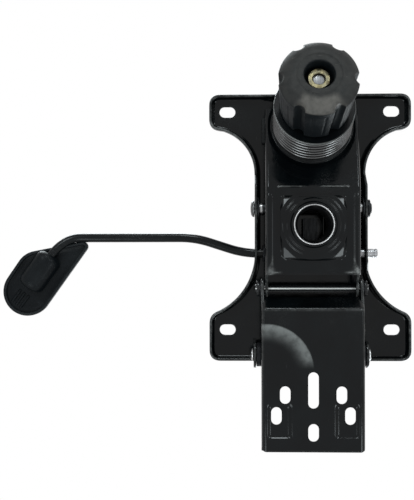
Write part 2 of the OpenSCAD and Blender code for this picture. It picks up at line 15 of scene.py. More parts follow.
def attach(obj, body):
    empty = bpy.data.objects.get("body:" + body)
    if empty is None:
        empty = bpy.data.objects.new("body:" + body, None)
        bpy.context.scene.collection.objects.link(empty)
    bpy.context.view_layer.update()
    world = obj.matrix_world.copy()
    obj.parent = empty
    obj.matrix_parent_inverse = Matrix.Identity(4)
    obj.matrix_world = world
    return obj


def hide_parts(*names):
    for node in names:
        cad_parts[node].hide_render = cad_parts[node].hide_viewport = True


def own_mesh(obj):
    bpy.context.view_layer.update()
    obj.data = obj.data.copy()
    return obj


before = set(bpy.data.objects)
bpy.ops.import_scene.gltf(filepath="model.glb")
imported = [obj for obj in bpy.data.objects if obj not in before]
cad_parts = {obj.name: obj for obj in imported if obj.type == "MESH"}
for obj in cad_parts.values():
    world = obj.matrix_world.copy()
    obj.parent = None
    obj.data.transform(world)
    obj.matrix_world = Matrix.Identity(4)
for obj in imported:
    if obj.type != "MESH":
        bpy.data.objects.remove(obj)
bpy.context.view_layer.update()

MM = 0.001
TAU = 2 * math.pi
QUARTER = math.pi / 2
WELD = 1e-6
SHARP = math.radians(35)

# Sizes of the part in millimetres, as in its source
SHEET = 2.5
SEAT_HALF, SEAT_FRONT, SEAT_REAR = 91.5, -120.0, 122.7
SEAT_UNDER, SEAT_TOP = 64.0, 66.5
WALL_OUT = 50.3
WALL_IN = WALL_OUT - SHEET
HOUSE_OUT = 41.2
HOUSE_IN = HOUSE_OUT - SHEET
BRACKET_OUT = 45.0
BRACKET_IN = BRACKET_OUT - SHEET
FLOOR_Z, CREASE_Y, HOUSE_FRONT, FLOOR_REAR, HOUSE_TOP = 12.0, -33.0, -104.0, 43.5, 58.0
BRACKET_Z, BRACKET_FRONT, BRACKET_REAR = 14.0, 73.0, 197.4
PIVOT, BACK, LINK, LEVER = (-15.5, 48.0), (56.0, 36.0), (116.0, 48.0), (24.8, 50.0)
TILT = math.radians(19)
BOLT_FOOT = (0.0, -87.4, FLOOR_Z + (87.4 + CREASE_Y) * math.tan(TILT))
LUG_IN = WALL_IN + 1.2
SIDE_GAP = 0.3
SPRING_R, WIRE_R = 35.0, 1.65
SPRING_BASE, SPRING_TOP = 1.5, 35.0
KNOB_BASE, KNOB_H, KNOB_CROWN = 37.8, 48.5, 8.5
NUT_H, RECESS_H = 8.0, 16.5
NUT_BASE = KNOB_BASE + KNOB_H + KNOB_CROWN - RECESS_H
BOLT_END = NUT_BASE + NUT_H - 2.3

# The flat margin inside a rounded edge, and how far a pan is drawn in from its walls
MARGIN = 0.4
LAP = 0.05


def unit(v):
    """Rows of v divided by their lengths."""
    return v / np.linalg.norm(v, axis=-1, keepdims=True)


def ramp(x, low, high):
    """0 below low, 1 above high, and the cubic 3t^2 - 2t^3 between them."""
    t = np.clip((x - low) / (high - low), 0, 1)
    return t * t * (3 - 2 * t)


def bell(x, middle, width):
    """exp(-d^2), where d is the distance of x from the middle, counted in widths."""
    return np.exp(-(((x - middle) / width) ** 2))


def round_angles(n):
    """n angles, evenly once round."""
    return np.linspace(0, TAU, n, endpoint=False)


def polar(radius, angle, height):
    """Points at a radius, an angle and a height round +Z."""
    r, a, h = np.broadcast_arrays(radius, angle, height)
    return np.stack([r * np.cos(a), r * np.sin(a), h], -1)


def arc(at, radius, first, last, steps):
    """Points on a circle round at, from the angle first to the angle last, in degrees."""
    a = np.radians(np.linspace(first, last, steps))
    return np.asarray(at) + radius * np.stack([np.cos(a), np.sin(a)], 1)


def rounded(points, cuts, steps=6, closed=True):
    """A line whose corners are rounded: each corner p gives way to the curve
    (1-t)^2 s + 2t(1-t) p + t^2 e, where s and e lie on its two sides, cut away from p."""
    p = np.asarray(points, float)
    cut = np.broadcast_to(np.asarray(cuts, float), len(p))[:, None]
    before = np.roll(p, 1, 0)
    after = np.roll(p, -1, 0)
    s = p + unit(before - p) * cut
    e = p + unit(after - p) * cut
    t = np.linspace(0, 1, steps)[None, :, None]
    bend = (1 - t) ** 2 * s[:, None] + 2 * t * (1 - t) * p[:, None] + t**2 * e[:, None]
    if closed:
        return bend.reshape(-1, p.shape[1])
    return np.concatenate([p[:1], bend[1:-1].reshape(-1, p.shape[1]), p[-1:]])


def box_line(left, right, low, high, cut):
    """A rectangle's outline with rounded corners."""
    return rounded([(left, low), (right, low), (right, high), (left, high)], cut, 5)


def spaced(line, step, closed=True):
    """The same line with points about step apart: each place is read off the running length."""
    p = np.concatenate([line, line[:1]]) if closed else line
    run = np.concatenate([[0], np.cumsum(np.linalg.norm(np.diff(p, axis=0), axis=1))])
    keep = np.concatenate([[True], np.diff(run) > 1e-6])
    n = max(8, int(run[-1] / step))
    at = np.linspace(0, run[-1], n, endpoint=not closed)
    return np.stack([np.interp(at, run[keep], p[keep, k]) for k in range(p.shape[1])], 1)


def stadium(length, width, turn=0.0, at=(0, 0), steps=14):
    """A slot's outline: two half circles of the given width, joined by straight sides."""
    half = arc(((length - width) / 2, 0), width / 2, -90, 90, steps)
    loop = np.concatenate([half, -half])
    c, s = math.cos(turn), math.sin(turn)
    return loop @ np.array([[c, s], [-s, c]]) + np.asarray(at, float)


def round_hole(width, at, steps=20):
    """A round hole's outline, as a slot that is hardly longer than it is wide."""
    return stadium(width + 0.02, width, 0, at, steps)


def inward(loop):
    """Unit normals of a closed flat loop, turned to its inside by the sign of its area."""
    after = np.roll(loop, -1, 0)
    d = after - np.roll(loop, 1, 0)
    area = np.sum(loop[:, 0] * after[:, 1] - loop[:, 1] * after[:, 0])
    return unit(np.stack([-d[:, 1], d[:, 0]], 1)) * np.sign(area)


def grid_faces(rows, cols, wrap_rows=False, wrap_cols=False):
    """Quads of a grid of rows by cols points, as rows of four point numbers."""
    i, j = np.meshgrid(
        np.arange(rows if wrap_rows else rows - 1),
        np.arange(cols if wrap_cols else cols - 1),
        indexing="ij",
    )
    down, right = (i + 1) % rows, (j + 1) % cols
    quads = [i * cols + j, i * cols + right, down * cols + right, down * cols + j]
    return np.stack(quads, -1).reshape(-1, 4)


def surface(points, faces, wear_and_highlight=0.0):
    """A surface: its points, its faces, and how worn each point is, with any highlight painted on it, from 0
    to 1.
    """
    points = np.asarray(points, float).reshape(-1, 3)
    return points, [np.asarray(faces)], np.broadcast_to(np.asarray(wear_and_highlight, float).ravel(), len(points))


def wheel(points, wear_and_highlight=0.0):
    """A surface that closes on itself along both ways of its grid of points."""
    return surface(points, grid_faces(*points.shape[:2], wrap_rows=True, wrap_cols=True), wear_and_highlight)


def joined(*parts):
    """Several surfaces as one: the point numbers of each move past those before it."""
    starts = np.cumsum([0] + [len(p[0]) for p in parts[:-1]])
    faces = [f + s for part, s in zip(parts, starts) for f in part[1]]
    return np.concatenate([p[0] for p in parts]), faces, np.concatenate([p[2] for p in parts])


def mapped(part, matrix, offset=(0, 0, 0)):
    """A surface with every point turned by the rows of matrix and moved by offset."""
    return part[0] @ np.asarray(matrix, float).T + np.asarray(offset, float), part[1], part[2]


def mirrored(part):
    """A surface together with its picture in the middle plane X = 0."""
    return joined(part, mapped(part, np.diag([-1, 1, 1])))


def skirt(loop, rows, wear_and_highlight=0.0):
    """A band round a flat loop: each row (inset, z) is the loop drawn in by inset, at height z.
    Inset and z may change along the loop."""
    n = inward(loop)
    inset, z = (np.stack([np.broadcast_to(r[k], len(loop)) for r in rows]) for k in (0, 1))
    xy = loop[None] + n[None] * inset[..., None]
    points = np.concatenate([xy, z[..., None]], -1)
    wear_and_highlight = np.broadcast_to(np.asarray(wear_and_highlight, float).reshape(-1, 1), z.shape)
    return surface(points, grid_faces(len(rows), len(loop), wrap_cols=True), wear_and_highlight)


def within(points, starts, ends):
    """Which points have an odd count of the edges, from starts to ends, to their right."""
    x, y = points[:, :1], points[:, 1:]
    over = (starts[:, 1] > y) != (ends[:, 1] > y)
    climb = np.where(ends[:, 1] == starts[:, 1], 1.0, ends[:, 1] - starts[:, 1])
    cross = starts[:, 0] + (y - starts[:, 1]) * (ends[:, 0] - starts[:, 0]) / climb
    return np.sum(over & (cross > x), 1) % 2 == 1


def filled(loops, z, inner=None):
    """A flat face at height z inside the first loop and outside the others: Delaunay triangles that
    keep to the loops, of which those stay whose middle lies within. Inner points add corners."""
    starts = np.concatenate(loops)
    ends = np.concatenate([np.roll(l, -1, 0) for l in loops])
    firsts = np.cumsum([0] + [len(l) for l in loops])
    numbers = [np.arange(len(l)) + s for l, s in zip(loops, firsts)]
    pairs = np.concatenate([np.stack([n, np.roll(n, -1)], 1) for n in numbers])
    corners = starts
    if inner is not None:
        corners = np.concatenate([starts, inner[within(inner, starts, ends)]])
    got = delaunay_2d_cdt(corners.tolist(), pairs.tolist(), [], 0, 1e-7)
    xy = np.array([tuple(v) for v in got[0]])
    tris = np.array(got[2])
    keep = within(xy[tris].mean(1), starts, ends)
    return surface(np.concatenate([xy, np.full((len(xy), 1), z)], 1), tris[keep])


def drawn_in(loop, inset):
    """The flat loop moved to its inside by inset."""
    return loop + inward(loop) * inset


def flat_piece(loop, holes, low, high, edge=0.6, wear_and_highlight=0.6):
    """A flat sheet from z = low to high, with holes, its edges rounded over the distance edge. A flat
    margin lies inside each rounded edge, so that the wide faces shade as flats."""
    quarter = np.linspace(0, QUARTER, 4)
    drop = edge * (1 - np.cos(quarter))
    draw = edge * (1 - np.sin(quarter))
    rows = [(d, low + p) for d, p in zip(draw, drop)]
    rows = rows + [(d, high - p) for d, p in zip(draw[::-1], drop[::-1])]
    rows = [(edge + MARGIN, low)] + rows + [(edge + MARGIN, high)]
    worn = [0, 0] + [wear_and_highlight] * 6 + [0, 0]
    parts = [skirt(loop, rows, worn)]
    parts += [skirt(h, [(-d, z) for d, z in rows], worn) for h in holes]
    cut = [drawn_in(h, -edge - MARGIN) for h in holes]
    parts += [filled([drawn_in(loop, edge + MARGIN)] + cut, z) for z in (low, high)]
    return joined(*parts)


def pan_line(half, bend, wall, flat, steps):
    """A pan's line across, as its x and its height: up one wall, round a bend, over the flat, and
    the same back."""
    a = np.linspace(0, QUARTER, steps)
    side = half - bend * (1 - np.sin(a))
    up = bend * (1 - np.cos(a))
    x = np.concatenate([[-half], -side[::-1], flat, side, [half]])
    return x, np.concatenate([[bend + wall], up[::-1], 0 * flat, up, [bend + wall]])


def sheet_metal(outer, worn):
    """A sheet: a grid of outer points, the same grid set in by the thickness along its normals, and
    a band that closes the edges. worn gives how worn the outer points are, with any highlights painted on
    them."""
    rows, cols = outer.shape[:2]
    n = rows * cols
    inside = unit(np.cross(np.gradient(outer, axis=1), np.gradient(outer, axis=0)))
    number = np.arange(n).reshape(rows, cols)
    ring = np.concatenate([number[0], number[1:, -1], number[-1, -2::-1], number[-2:0:-1, 0]])
    after = np.roll(ring, -1)
    faces = grid_faces(rows, cols)
    return (
        np.concatenate([outer.reshape(-1, 3), (outer + inside * SHEET).reshape(-1, 3)]),
        [faces, faces[:, ::-1] + n, np.stack([ring, after, after + n, ring + n], 1)],
        np.concatenate([worn.ravel(), np.zeros(n)]),
    )


def turned(profile, segments=64, closed=False, wear_and_highlight=0.0):
    """A profile of (radius, height) rows turned once round +Z; closed joins its last row to its first."""
    p = np.asarray(profile, float)
    points = polar(p[:, :1], round_angles(segments), p[:, 1:2])
    wear_and_highlight = np.broadcast_to(np.asarray(wear_and_highlight, float).reshape(-1, 1), points.shape[:2])
    return surface(points, grid_faces(len(p), segments, wrap_rows=closed, wrap_cols=True), wear_and_highlight)


def swept(line, radius, sides=24):
    """A round bar: a ring of the given radius stands across the line at each of its points, on axes
    that are the cross products of the line's direction with +Z. A ring of no size closes each end."""
    line = np.asarray(line, float)
    along = unit(np.gradient(line, axis=0))
    aside = unit(np.cross(along, (0, 0, 1)))
    over = np.cross(aside, along)
    a = round_angles(sides)[None, :, None]
    ring = radius * (aside[:, None] * np.cos(a) + over[:, None] * np.sin(a))
    ends = np.zeros_like(ring[:1])
    points = np.concatenate([ends + line[:1, None], line[:, None] + ring, ends + line[-1:, None]])
    return surface(points, grid_faces(len(line) + 2, sides, wrap_cols=True))


ON_BOLT = np.array([
    [1, 0, 0],
    [0, -math.cos(TILT), -math.sin(TILT)],
    [0, math.sin(TILT), -math.cos(TILT)],
])
ALONG_X = np.array([[0, 0, 1], [1, 0, 0], [0, 1, 0]])
ALONG_Y = np.array([[1, 0, 0], [0, 0, 1], [0, 1, 0]])


def on_bolt(part, down=0.0):
    """A surface drawn with +Z down the tension bolt, from the panel's lower face, moved on by down."""
    return mapped(mapped(part, np.eye(3), (0, 0, down)), ON_BOLT, BOLT_FOOT)


def across(part, place):
    """A surface drawn with +Z along the chair's width, at a (Y, Z) place."""
    return mapped(part, ALONG_X, (0, *place))


def both_walls(loop, holes, low, high):
    """A flat sheet on each side of the chair, from its outline and holes in (Y, Z)."""
    return mirrored(across(flat_piece(loop, holes, low, high), (0, 0)))


def cross_wall(half, low, high, cut, y):
    """A flat wall across the chair, from height low to high, with its front face at y."""
    loop = spaced(box_line(-half, half, low, high, cut), 2.5)
    return mapped(flat_piece(loop, [], y, y + SHEET), ALONG_Y)


def built(name, part):
    """A mesh of a surface: points merged, faces turned outwards, how worn each point is and any highlight
    painted on it kept for the material.
    """
    points, faces, wear_and_highlight = part
    mesh = bpy.data.meshes.new(name)
    mesh.from_pydata((points * MM).tolist(), [], [f for group in faces for f in group.tolist()])
    mesh.attributes.new("wear_and_highlight", "FLOAT", "POINT").data.foreach_set("value", wear_and_highlight.astype(np.float32))
    work = bmesh.new()
    work.from_mesh(mesh)
    bmesh.ops.remove_doubles(work, verts=work.verts, dist=WELD)
    bmesh.ops.dissolve_degenerate(work, edges=work.edges, dist=WELD / 10)
    bmesh.ops.recalc_face_normals(work, faces=work.faces)
    work.to_mesh(mesh)
    work.free()
    return mesh


def smoothed(mesh):
    """Smooth shading, apart from sharp edges."""
    mesh.shade_smooth()
    mesh.set_sharp_from_angle(angle=SHARP)


def added(name, data):
    """A new object in the scene."""
    obj = bpy.data.objects.new(name, data)
    bpy.context.scene.collection.objects.link(obj)
    return obj


def piece(name, part, material, body, node):
    """A finished piece, with its ride, slot and replaced node stated."""
    mesh = built(name, part)
    smoothed(mesh)
    mesh.materials.append(material)
    obj = added(name, mesh)
    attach(obj, body)
    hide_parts(node)
    return obj


def carve(obj, part):
    """Takes a closed shape out of a piece, and keeps the result as its mesh."""
    mesh = built("cutter", part)
    cutter = added("cutter", mesh)
    modifier = obj.modifiers.new("carve", "BOOLEAN")
    modifier.operation = "DIFFERENCE"
    modifier.solver = "EXACT"
    modifier.object = cutter
    bpy.context.view_layer.update()
    done = bpy.data.meshes.new_from_object(obj.evaluated_get(bpy.context.evaluated_depsgraph_get()))
    obj.modifiers.clear()
    old = obj.data
    obj.data = done
    bpy.data.meshes.remove(old)
    bpy.data.objects.remove(cutter)
    bpy.data.meshes.remove(mesh)
    done.name = obj.name
    smoothed(done)


class Kit:
    """A node tree with a small kit for laying nodes."""

    def __init__(self, tree):
        self.tree = tree

    def node(self, kind, **given):
        """A new node; capital names are its sockets, with _ for a space, the others its settings."""
        made = self.tree.nodes.new(kind)
        for key, value in given.items():
            if key[0].isupper():
                made.inputs[key.replace("_", " ")].default_value = value
            else:
                setattr(made, key, value)
        return made

    def link(self, source, target):
        self.tree.links.new(source, target)

    def maths(self, kind, a, b):
        made = self.node("ShaderNodeMath", operation=kind)
        for socket, value in zip(made.inputs, (a, b)):
            if isinstance(value, (int, float)):
                socket.default_value = value
            else:
                self.link(value, socket)
        return made.outputs["Value"]

    def times(self, a, b):
        return self.maths("MULTIPLY", a, b)

    def plus(self, a, b):
        return self.maths("ADD", a, b)


class Finish(Kit):
    """A material, whose patterns lie on Object coordinates."""

    def __init__(self, name, **sockets):
        self.material = bpy.data.materials.new(name)
        self.material.use_nodes = True
        super().__init__(self.material.node_tree)
        self.shader = self.tree.nodes["Principled BSDF"]
        self.place = self.node("ShaderNodeTexCoord").outputs["Object"]
        for key, value in sockets.items():
            self.shader.inputs[key.replace("_", " ")].default_value = value

    def put(self, source, socket):
        self.link(source, self.shader.inputs[socket])

    def stretched(self, scale, turn=(0, 0, 0)):
        """Object coordinates scaled by three numbers and turned."""
        made = self.node("ShaderNodeMapping", Scale=scale, Rotation=turn)
        self.link(self.place, made.inputs["Vector"])
        return made.outputs["Vector"]

    def noise(self, scale, detail=3.0, rough=0.55, place=None):
        made = self.node("ShaderNodeTexNoise", Scale=scale, Detail=detail, Roughness=rough)
        self.link(self.place if place is None else place, made.inputs["Vector"])
        return made.outputs["Fac"]

    def spread(self, source, low, high, out_low=0.0, out_high=1.0):
        """source taken from low..high to out_low..out_high, smoothly, and held there."""
        made = self.node(
            "ShaderNodeMapRange", interpolation_type="SMOOTHSTEP",
            From_Min=low, From_Max=high, To_Min=out_low, To_Max=out_high,
        )
        self.link(source, made.inputs["Value"])
        return made.outputs["Result"]

    def mix(self, share, a, b):
        """Colour a where share is 0, b where it is 1."""
        made = self.node("ShaderNodeMix", data_type="RGBA")
        self.link(share, made.inputs["Factor"])
        for socket, value in zip((made.inputs[6], made.inputs[7]), (a, b)):
            if isinstance(value, tuple):
                socket.default_value = (*value, 1)
            else:
                self.link(value, socket)
        return made.outputs[2]

    def worn(self):
        """How worn each point is, with any highlight painted on it, as the piece keeps it."""
        return self.node("ShaderNodeAttribute", attribute_name="wear_and_highlight").outputs["Fac"]

    def bump(self, height, strength, distance):
        made = self.node("ShaderNodeBump", Strength=strength, Distance=distance)
        self.link(height, made.inputs["Height"])
        self.put(made.outputs["Normal"], "Normal")


# The third colour is that of a painted reflection on the bracket
DUST, SCRATCH, REFLECTED_GREY = (0.16, 0.155, 0.145), (0.09, 0.09, 0.09), (0.1, 0.102, 0.098)
GRIME = (0.05, 0.047, 0.044)


def painted_reflection(f, x, y, radius, last):
    """A painted reflection: a pale arc that thickens outwards round the point (x, y), and ends at a
    radius and ahead of a last y, in millimetres."""
    x, y, radius, last = (k * MM for k in (x, y, radius, last))
    apart = f.node("ShaderNodeSeparateXYZ")
    f.link(f.place, apart.inputs[0])
    flat = f.node("ShaderNodeCombineXYZ")
    f.link(f.maths("SUBTRACT", apart.outputs["X"], x), flat.inputs["X"])
    f.link(f.maths("SUBTRACT", apart.outputs["Y"], y), flat.inputs["Y"])
    length = f.node("ShaderNodeVectorMath", operation="LENGTH")
    f.link(flat.outputs[0], length.inputs[0])
    far = length.outputs["Value"]
    painted_arc = f.maths("POWER", f.spread(far, radius * 0.58, radius), 1.4)
    painted_arc = f.times(painted_arc, f.spread(far, radius, radius * 1.04, 1.0, 0.0))
    painted_arc = f.times(painted_arc, f.spread(apart.outputs["Y"], last - 0.012, last, 1.0, 0.0))
    return f.times(painted_arc, f.spread(f.noise(120, 4, 0.6), 0.25, 0.6, 0.5, 1.0))


def black_paint(name, dark, pale, gloss, dust, chip_and_highlight, shine=0.22, reflection_place=None, even=False, metal=0.33):
    """Gloss paint on steel: cloudy colour, dust in soft patches, fine scratches, a slight orange
    peel, and bare steel where the worn edges and painted highlights that a piece keeps and two noises
    agree, or, if even, where they alone say so. A reflection place, if given, puts a painted
    reflection there: a pale arc mixed into the colour."""
    f = Finish(name, Specular_IOR_Level=shine)
    scratch = f.noise(60, 5, 0.65, f.stretched((14, 1.2, 5), (0, 0, 0.5)))
    fine = f.spread(scratch, 0.68, 0.76, 0, 0.15)
    dusty = f.times(f.spread(f.noise(16, 5, 0.6), 0.5, 0.72), f.spread(f.noise(900, 2), 0.42, 0.62))
    colour = f.mix(f.spread(f.noise(38, 4), 0.35, 0.7), dark, pale)
    colour = f.mix(f.times(dusty, dust), colour, DUST)
    colour = f.mix(fine, colour, SCRATCH)
    # A painted reflection: a pale arc mixed into the paint's colour
    if reflection_place:
        colour = f.mix(painted_reflection(f, *reflection_place), colour, REFLECTED_GREY)
    # edge: the worn edges and the painted highlights that a piece keeps; the bare-steel colour shows at both
    edge = f.worn()
    if not even:
        edge = f.times(edge, f.spread(f.noise(240, 4, 0.65), 0.3, 0.7, 0.15, 1.0))
        edge = f.times(edge, f.spread(f.noise(24, 3, 0.6), 0.4, 0.64, 0.3, 1.0))
    bare = f.times(edge, chip_and_highlight)
    f.put(f.mix(bare, colour, (metal, metal, 0.96 * metal)), "Base Color")
    f.put(f.times(bare, 0.3), "Metallic")
    rough = f.spread(f.noise(70, 5, 0.6), 0.3, 0.75, gloss, gloss + 0.1)
    rough = f.plus(rough, f.times(dusty, 0.22))
    f.put(f.plus(rough, f.times(fine, 0.3)), "Roughness")
    f.bump(f.plus(f.noise(420, 2), f.times(scratch, 0.5)), 0.03, 0.0003)
    return f.material


def plated(name, colour, tint, rough, grain, bright=0.0, dirt=0.75):
    """Plated or bare steel: two tints in a fine cloud, turning marks along one way, grey grime, and
    bright metal where an edge is worn and where a piece carries a painted highlight."""
    f = Finish(name, Metallic=1.0)
    marks = f.noise(90, 4, 0.6, f.stretched(grain))
    grime = f.spread(f.noise(55, 5, 0.65), 0.52, 0.72, 0, dirt)
    base = f.mix(f.spread(marks, 0.3, 0.7), colour, tint)
    base = f.mix(grime, base, GRIME)
    if bright:
        worn = f.times(f.worn(), f.spread(f.noise(160, 4, 0.6), 0.3, 0.5, 0.6, 1.0))
        base = f.mix(worn, base, (bright, bright, bright))
    f.put(base, "Base Color")
    dull = f.spread(marks, 0.25, 0.75, rough, rough + 0.14)
    f.put(f.plus(dull, f.times(grime, 0.3)), "Roughness")
    f.bump(marks, 0.1, 0.0003)
    return f.material


def moulded(name, dark, pale, rough, chalk, chip_and_highlight=0.0, shine=0.08):
    """Moulded plastic: a fine spark-eroded grain, rubbed paler patches and scuffs, worn edges, and the
    painted highlights that a piece carries with them.
    """
    f = Finish(name, Specular_IOR_Level=shine)
    rub = f.spread(f.noise(45, 5, 0.62), 0.42, 0.7)
    scuff = f.noise(120, 5, 0.7, f.stretched((1, 6, 3), (0.3, 0.2, 0.8)))
    scuff = f.spread(scuff, 0.62, 0.72, 0, 0.35)
    base = f.mix(scuff, f.mix(rub, dark, pale), chalk)
    worn = f.times(f.worn(), f.spread(f.noise(180, 4, 0.6), 0.2, 0.7, 0.55, 1.0))
    f.put(f.mix(f.times(worn, chip_and_highlight), base, chalk), "Base Color")
    dull = f.spread(rub, 0, 1, rough, rough + 0.12)
    f.put(f.plus(dull, f.times(scuff, 0.2)), "Roughness")
    f.bump(f.plus(f.noise(1500, 2), f.times(scuff, 0.6)), 0.22, 0.0004)
    return f.material


GLOSS = ((0.0005, 0.0009, 0.0012), (0.001, 0.0017, 0.0021), 0.07, 0.02, 0.26, 0.17)
# Its bare-steel mix shows worn edges and the painted highlight lines of the housing pan
paint = black_paint("gloss_black_paint", *GLOSS)
# The bracket's paint carries a painted reflection: a pale arc on its plate round (-41, 127.7)
bracket_paint = black_paint("black_paint_painted_reflection", *GLOSS, reflection_place=(-41.0, 127.7, 40.5, 126.0))
rod_paint = black_paint(
    "black_rod_paint", (0.001, 0.0015, 0.0018), (0.002, 0.0027, 0.0032), 0.14, 0.03, 0.3, 0.14
)
# Its bare-steel mix shows the rubbed cup edge and the painted highlight on the lever's side
cup_paint = black_paint(
    "rubbed_and_highlit_cup_paint", (0.001, 0.0014, 0.0017), (0.002, 0.0026, 0.003), 0.15, 0.0, 0.35, even=True
)
# Its bare-steel mix shows only the painted highlight line that the back rod carries
rod_zinc = black_paint(
    "greased_rod_zinc", (0.004, 0.0044, 0.0048), (0.008, 0.0085, 0.009), 0.16, 0.0, 1.0,
    even=True, metal=0.75,
)
# Its bright mix shows the painted highlight lines on the spring's turns
coil_black = plated(
    "oiled_spring_wire", (0.034, 0.035, 0.037), (0.02, 0.021, 0.022), 0.12, (2, 2, 2), 0.1, 0.2
)
socket_steel = plated(
    "phosphated_socket_steel", (0.03, 0.031, 0.032), (0.018, 0.018, 0.019), 0.34, (1, 1, 9), 0.45
)
zinc = plated("bright_zinc", (0.36, 0.365, 0.375), (0.24, 0.242, 0.25), 0.28, (9, 1, 1))
dull_zinc = plated("dull_zinc", (0.2, 0.2, 0.204), (0.14, 0.14, 0.143), 0.36, (9, 1, 1))
greased = plated("greased_zinc", (0.02, 0.021, 0.022), (0.012, 0.0125, 0.013), 0.3, (9, 1, 1), 0.5)
yellow_zinc = plated("yellow_zinc", (0.21, 0.18, 0.1), (0.15, 0.138, 0.095), 0.34, (3, 3, 3))
# Its chalk mix shows the rubbed face and the painted highlight towards its rear
knob_plastic = moulded(
    "knob_plastic", (0.0026, 0.0036, 0.0044), (0.0048, 0.006, 0.0068), 0.5, (0.094, 0.086, 0.077), 1.0
)
paddle_plastic = moulded(
    "paddle_plastic", (0.0012, 0.0019, 0.0025), (0.0026, 0.0036, 0.0043), 0.38,
    (0.02, 0.022, 0.023), 0.25,
)
spacer_plastic = moulded(
    "spacer_plastic", (0.008, 0.008, 0.009), (0.014, 0.014, 0.015), 0.42, (0.04, 0.04, 0.039)
)
nylon = moulded("black_nylon", (0.01, 0.01, 0.011), (0.018, 0.018, 0.019), 0.4, (0.05, 0.05, 0.048))
rubber = moulded("rubber", (0.01, 0.01, 0.01), (0.02, 0.02, 0.02), 0.75, (0.06, 0.06, 0.058))


def seat_plan():
    """The seat plate's outline: half of it from the middle of the front to the middle of the rear,
    with hollow quarter arcs beside the waist, then its picture on the other side."""
    front_arc, rear_arc = 40.5, 58.0
    front_trim, rear_trim = 0.3, 0.16
    waist_front, waist_rear, corner = -48.0, 25.0, 10.0
    front_at, rear_at = (WALL_OUT + front_arc, waist_front), (WALL_OUT + rear_arc, waist_rear)
    front = arc(front_at, front_arc, -90 - math.degrees(front_trim), -180, 26)
    reach = math.acos((SEAT_HALF - WALL_OUT - rear_arc) / rear_arc)
    rear = arc(rear_at, rear_arc, 180, math.degrees(reach + rear_trim), 26)
    front_ear = rounded([
        (0, SEAT_FRONT), (SEAT_HALF, SEAT_FRONT), (SEAT_HALF, waist_front - front_arc), front[0]
    ], (0, corner, 9.0, 0), 9, closed=False)
    rear_meet = waist_rear + rear_arc * math.sin(reach)
    rear_ear = rounded([
        rear[-1], (SEAT_HALF, rear_meet), (SEAT_HALF, SEAT_REAR), (0, SEAT_REAR)
    ], (0, 8, corner, 0), 9, closed=False)
    half = np.concatenate([front_ear, front[1:], rear[:-1], rear_ear])
    return spaced(np.concatenate([half, half[::-1][1:-1] * [-1, 1]]), 1.7)


def seat_plate():
    """Pressed seat plate: a skirt round the plan makes the fillet, the rim and the rolled lower edge;
    the rim is deeper along the waist and shallow between the rear lugs. Slots and beads are loops
    in its two flat faces, and each ear is a pad that stands a little lower, beyond a soft step."""
    plan = seat_plan()
    x, y = plan[:, 0], plan[:, 1]
    bend, rim, waist, shallow = 5.5, 10.0, 26.0, 4.7
    depth = rim + (waist - rim) * np.clip(np.minimum((y + 48) / 12, (42 - y) / 10), 0, 1)
    between = ramp(y, 118, 121) * (1 - ramp(np.abs(x), LUG_IN - 1.5, LUG_IN + 0.5))
    depth = depth + (shallow - depth) * between
    low = SEAT_UNDER - depth
    edge, hollow = SHEET / 2, bend - SHEET
    fillet, round_edge, inside = (np.linspace(0, k, n) for k, n in ((QUARTER, 8), (math.pi, 9), (QUARTER, 6)))
    rows = [(bend * (1 - math.sin(k)), SEAT_TOP - bend * (1 - math.cos(k))) for k in fillet]
    rows += [(edge - edge * math.cos(k), low + edge - edge * math.sin(k)) for k in round_edge]
    rows += [(SHEET + hollow * (1 - math.cos(k)), SEAT_UNDER - hollow * (1 - math.sin(k))) for k in inside]
    rows = [(bend + MARGIN, SEAT_TOP)] + rows + [(bend + MARGIN, SEAT_UNDER)]
    worn = [0, 0, 0.1, 0.2, 0.3, 0.35, 0.3, 0.2, 0.1]
    worn += [0.1, 0.2, 0.5, 0.9, 1, 0.9, 0.5, 0.2, 0.1] + [0] * 7
    parts = [skirt(plan, rows, worn)]
    roll = 0.7
    quarter = np.linspace(0, QUARTER, 4)
    up = [(roll * math.sin(k) - roll, SEAT_UNDER + roll * (1 - math.cos(k))) for k in quarter]
    down = [(roll * math.cos(k) - roll, SEAT_TOP - roll * (1 - math.sin(k))) for k in quarter]
    slots = [stadium(14.5, 9.5, 0, (sx * 75, sy)) for sx in (-1, 1) for sy in (-105, 95)]
    lip = [(-roll - MARGIN, SEAT_UNDER)] + up + down + [(-roll - MARGIN, SEAT_TOP)]
    parts += [skirt(k, lip, [0, 0, 0.5, 0.9, 0.6, 0.6, 0.9, 0.5, 0, 0]) for k in slots]
    open_loops = [drawn_in(k, -roll - MARGIN) for k in slots]
    beads = [stadium(76, 12, QUARTER, (sx * 22, -14), 18) for sx in (-1, 1)]
    bead_depth, bead_side = 2.0, 3.2
    s = np.linspace(0, 1, 7)
    pad_start, pad_end, pad_drop = 54.0, 64.0, 0.26
    step_x = np.linspace(pad_start, pad_end, 14)
    step_y = np.arange(SEAT_FRONT + 8, SEAT_REAR - 7, 2.5)
    step = np.stack(np.meshgrid(np.concatenate([-step_x, step_x]), step_y), -1).reshape(-1, 2)
    outer = drawn_in(plan, bend + MARGIN)
    for z, grow in ((SEAT_TOP, 0.0), (SEAT_UNDER, SHEET * 0.6)):
        start, stop = -grow - bead_side / 2 - MARGIN, bead_side / 2 - grow + MARGIN
        side = [(bead_side * (k - 0.5) - grow, z - bead_depth * w) for k, w in zip(s, ramp(s, 0, 1))]
        parts += [skirt(k, [(start, z)] + side + [(stop, z - bead_depth)]) for k in beads]
        parts += [filled([drawn_in(k, stop)], z - bead_depth) for k in beads]
        parts.append(filled([outer] + open_loops + [drawn_in(k, start) for k in beads], z, step))
    points, faces, wear_and_highlight = joined(*parts)
    points[:, 2] -= pad_drop * ramp(np.abs(points[:, 0]), pad_start, pad_end)
    return points, faces, wear_and_highlight


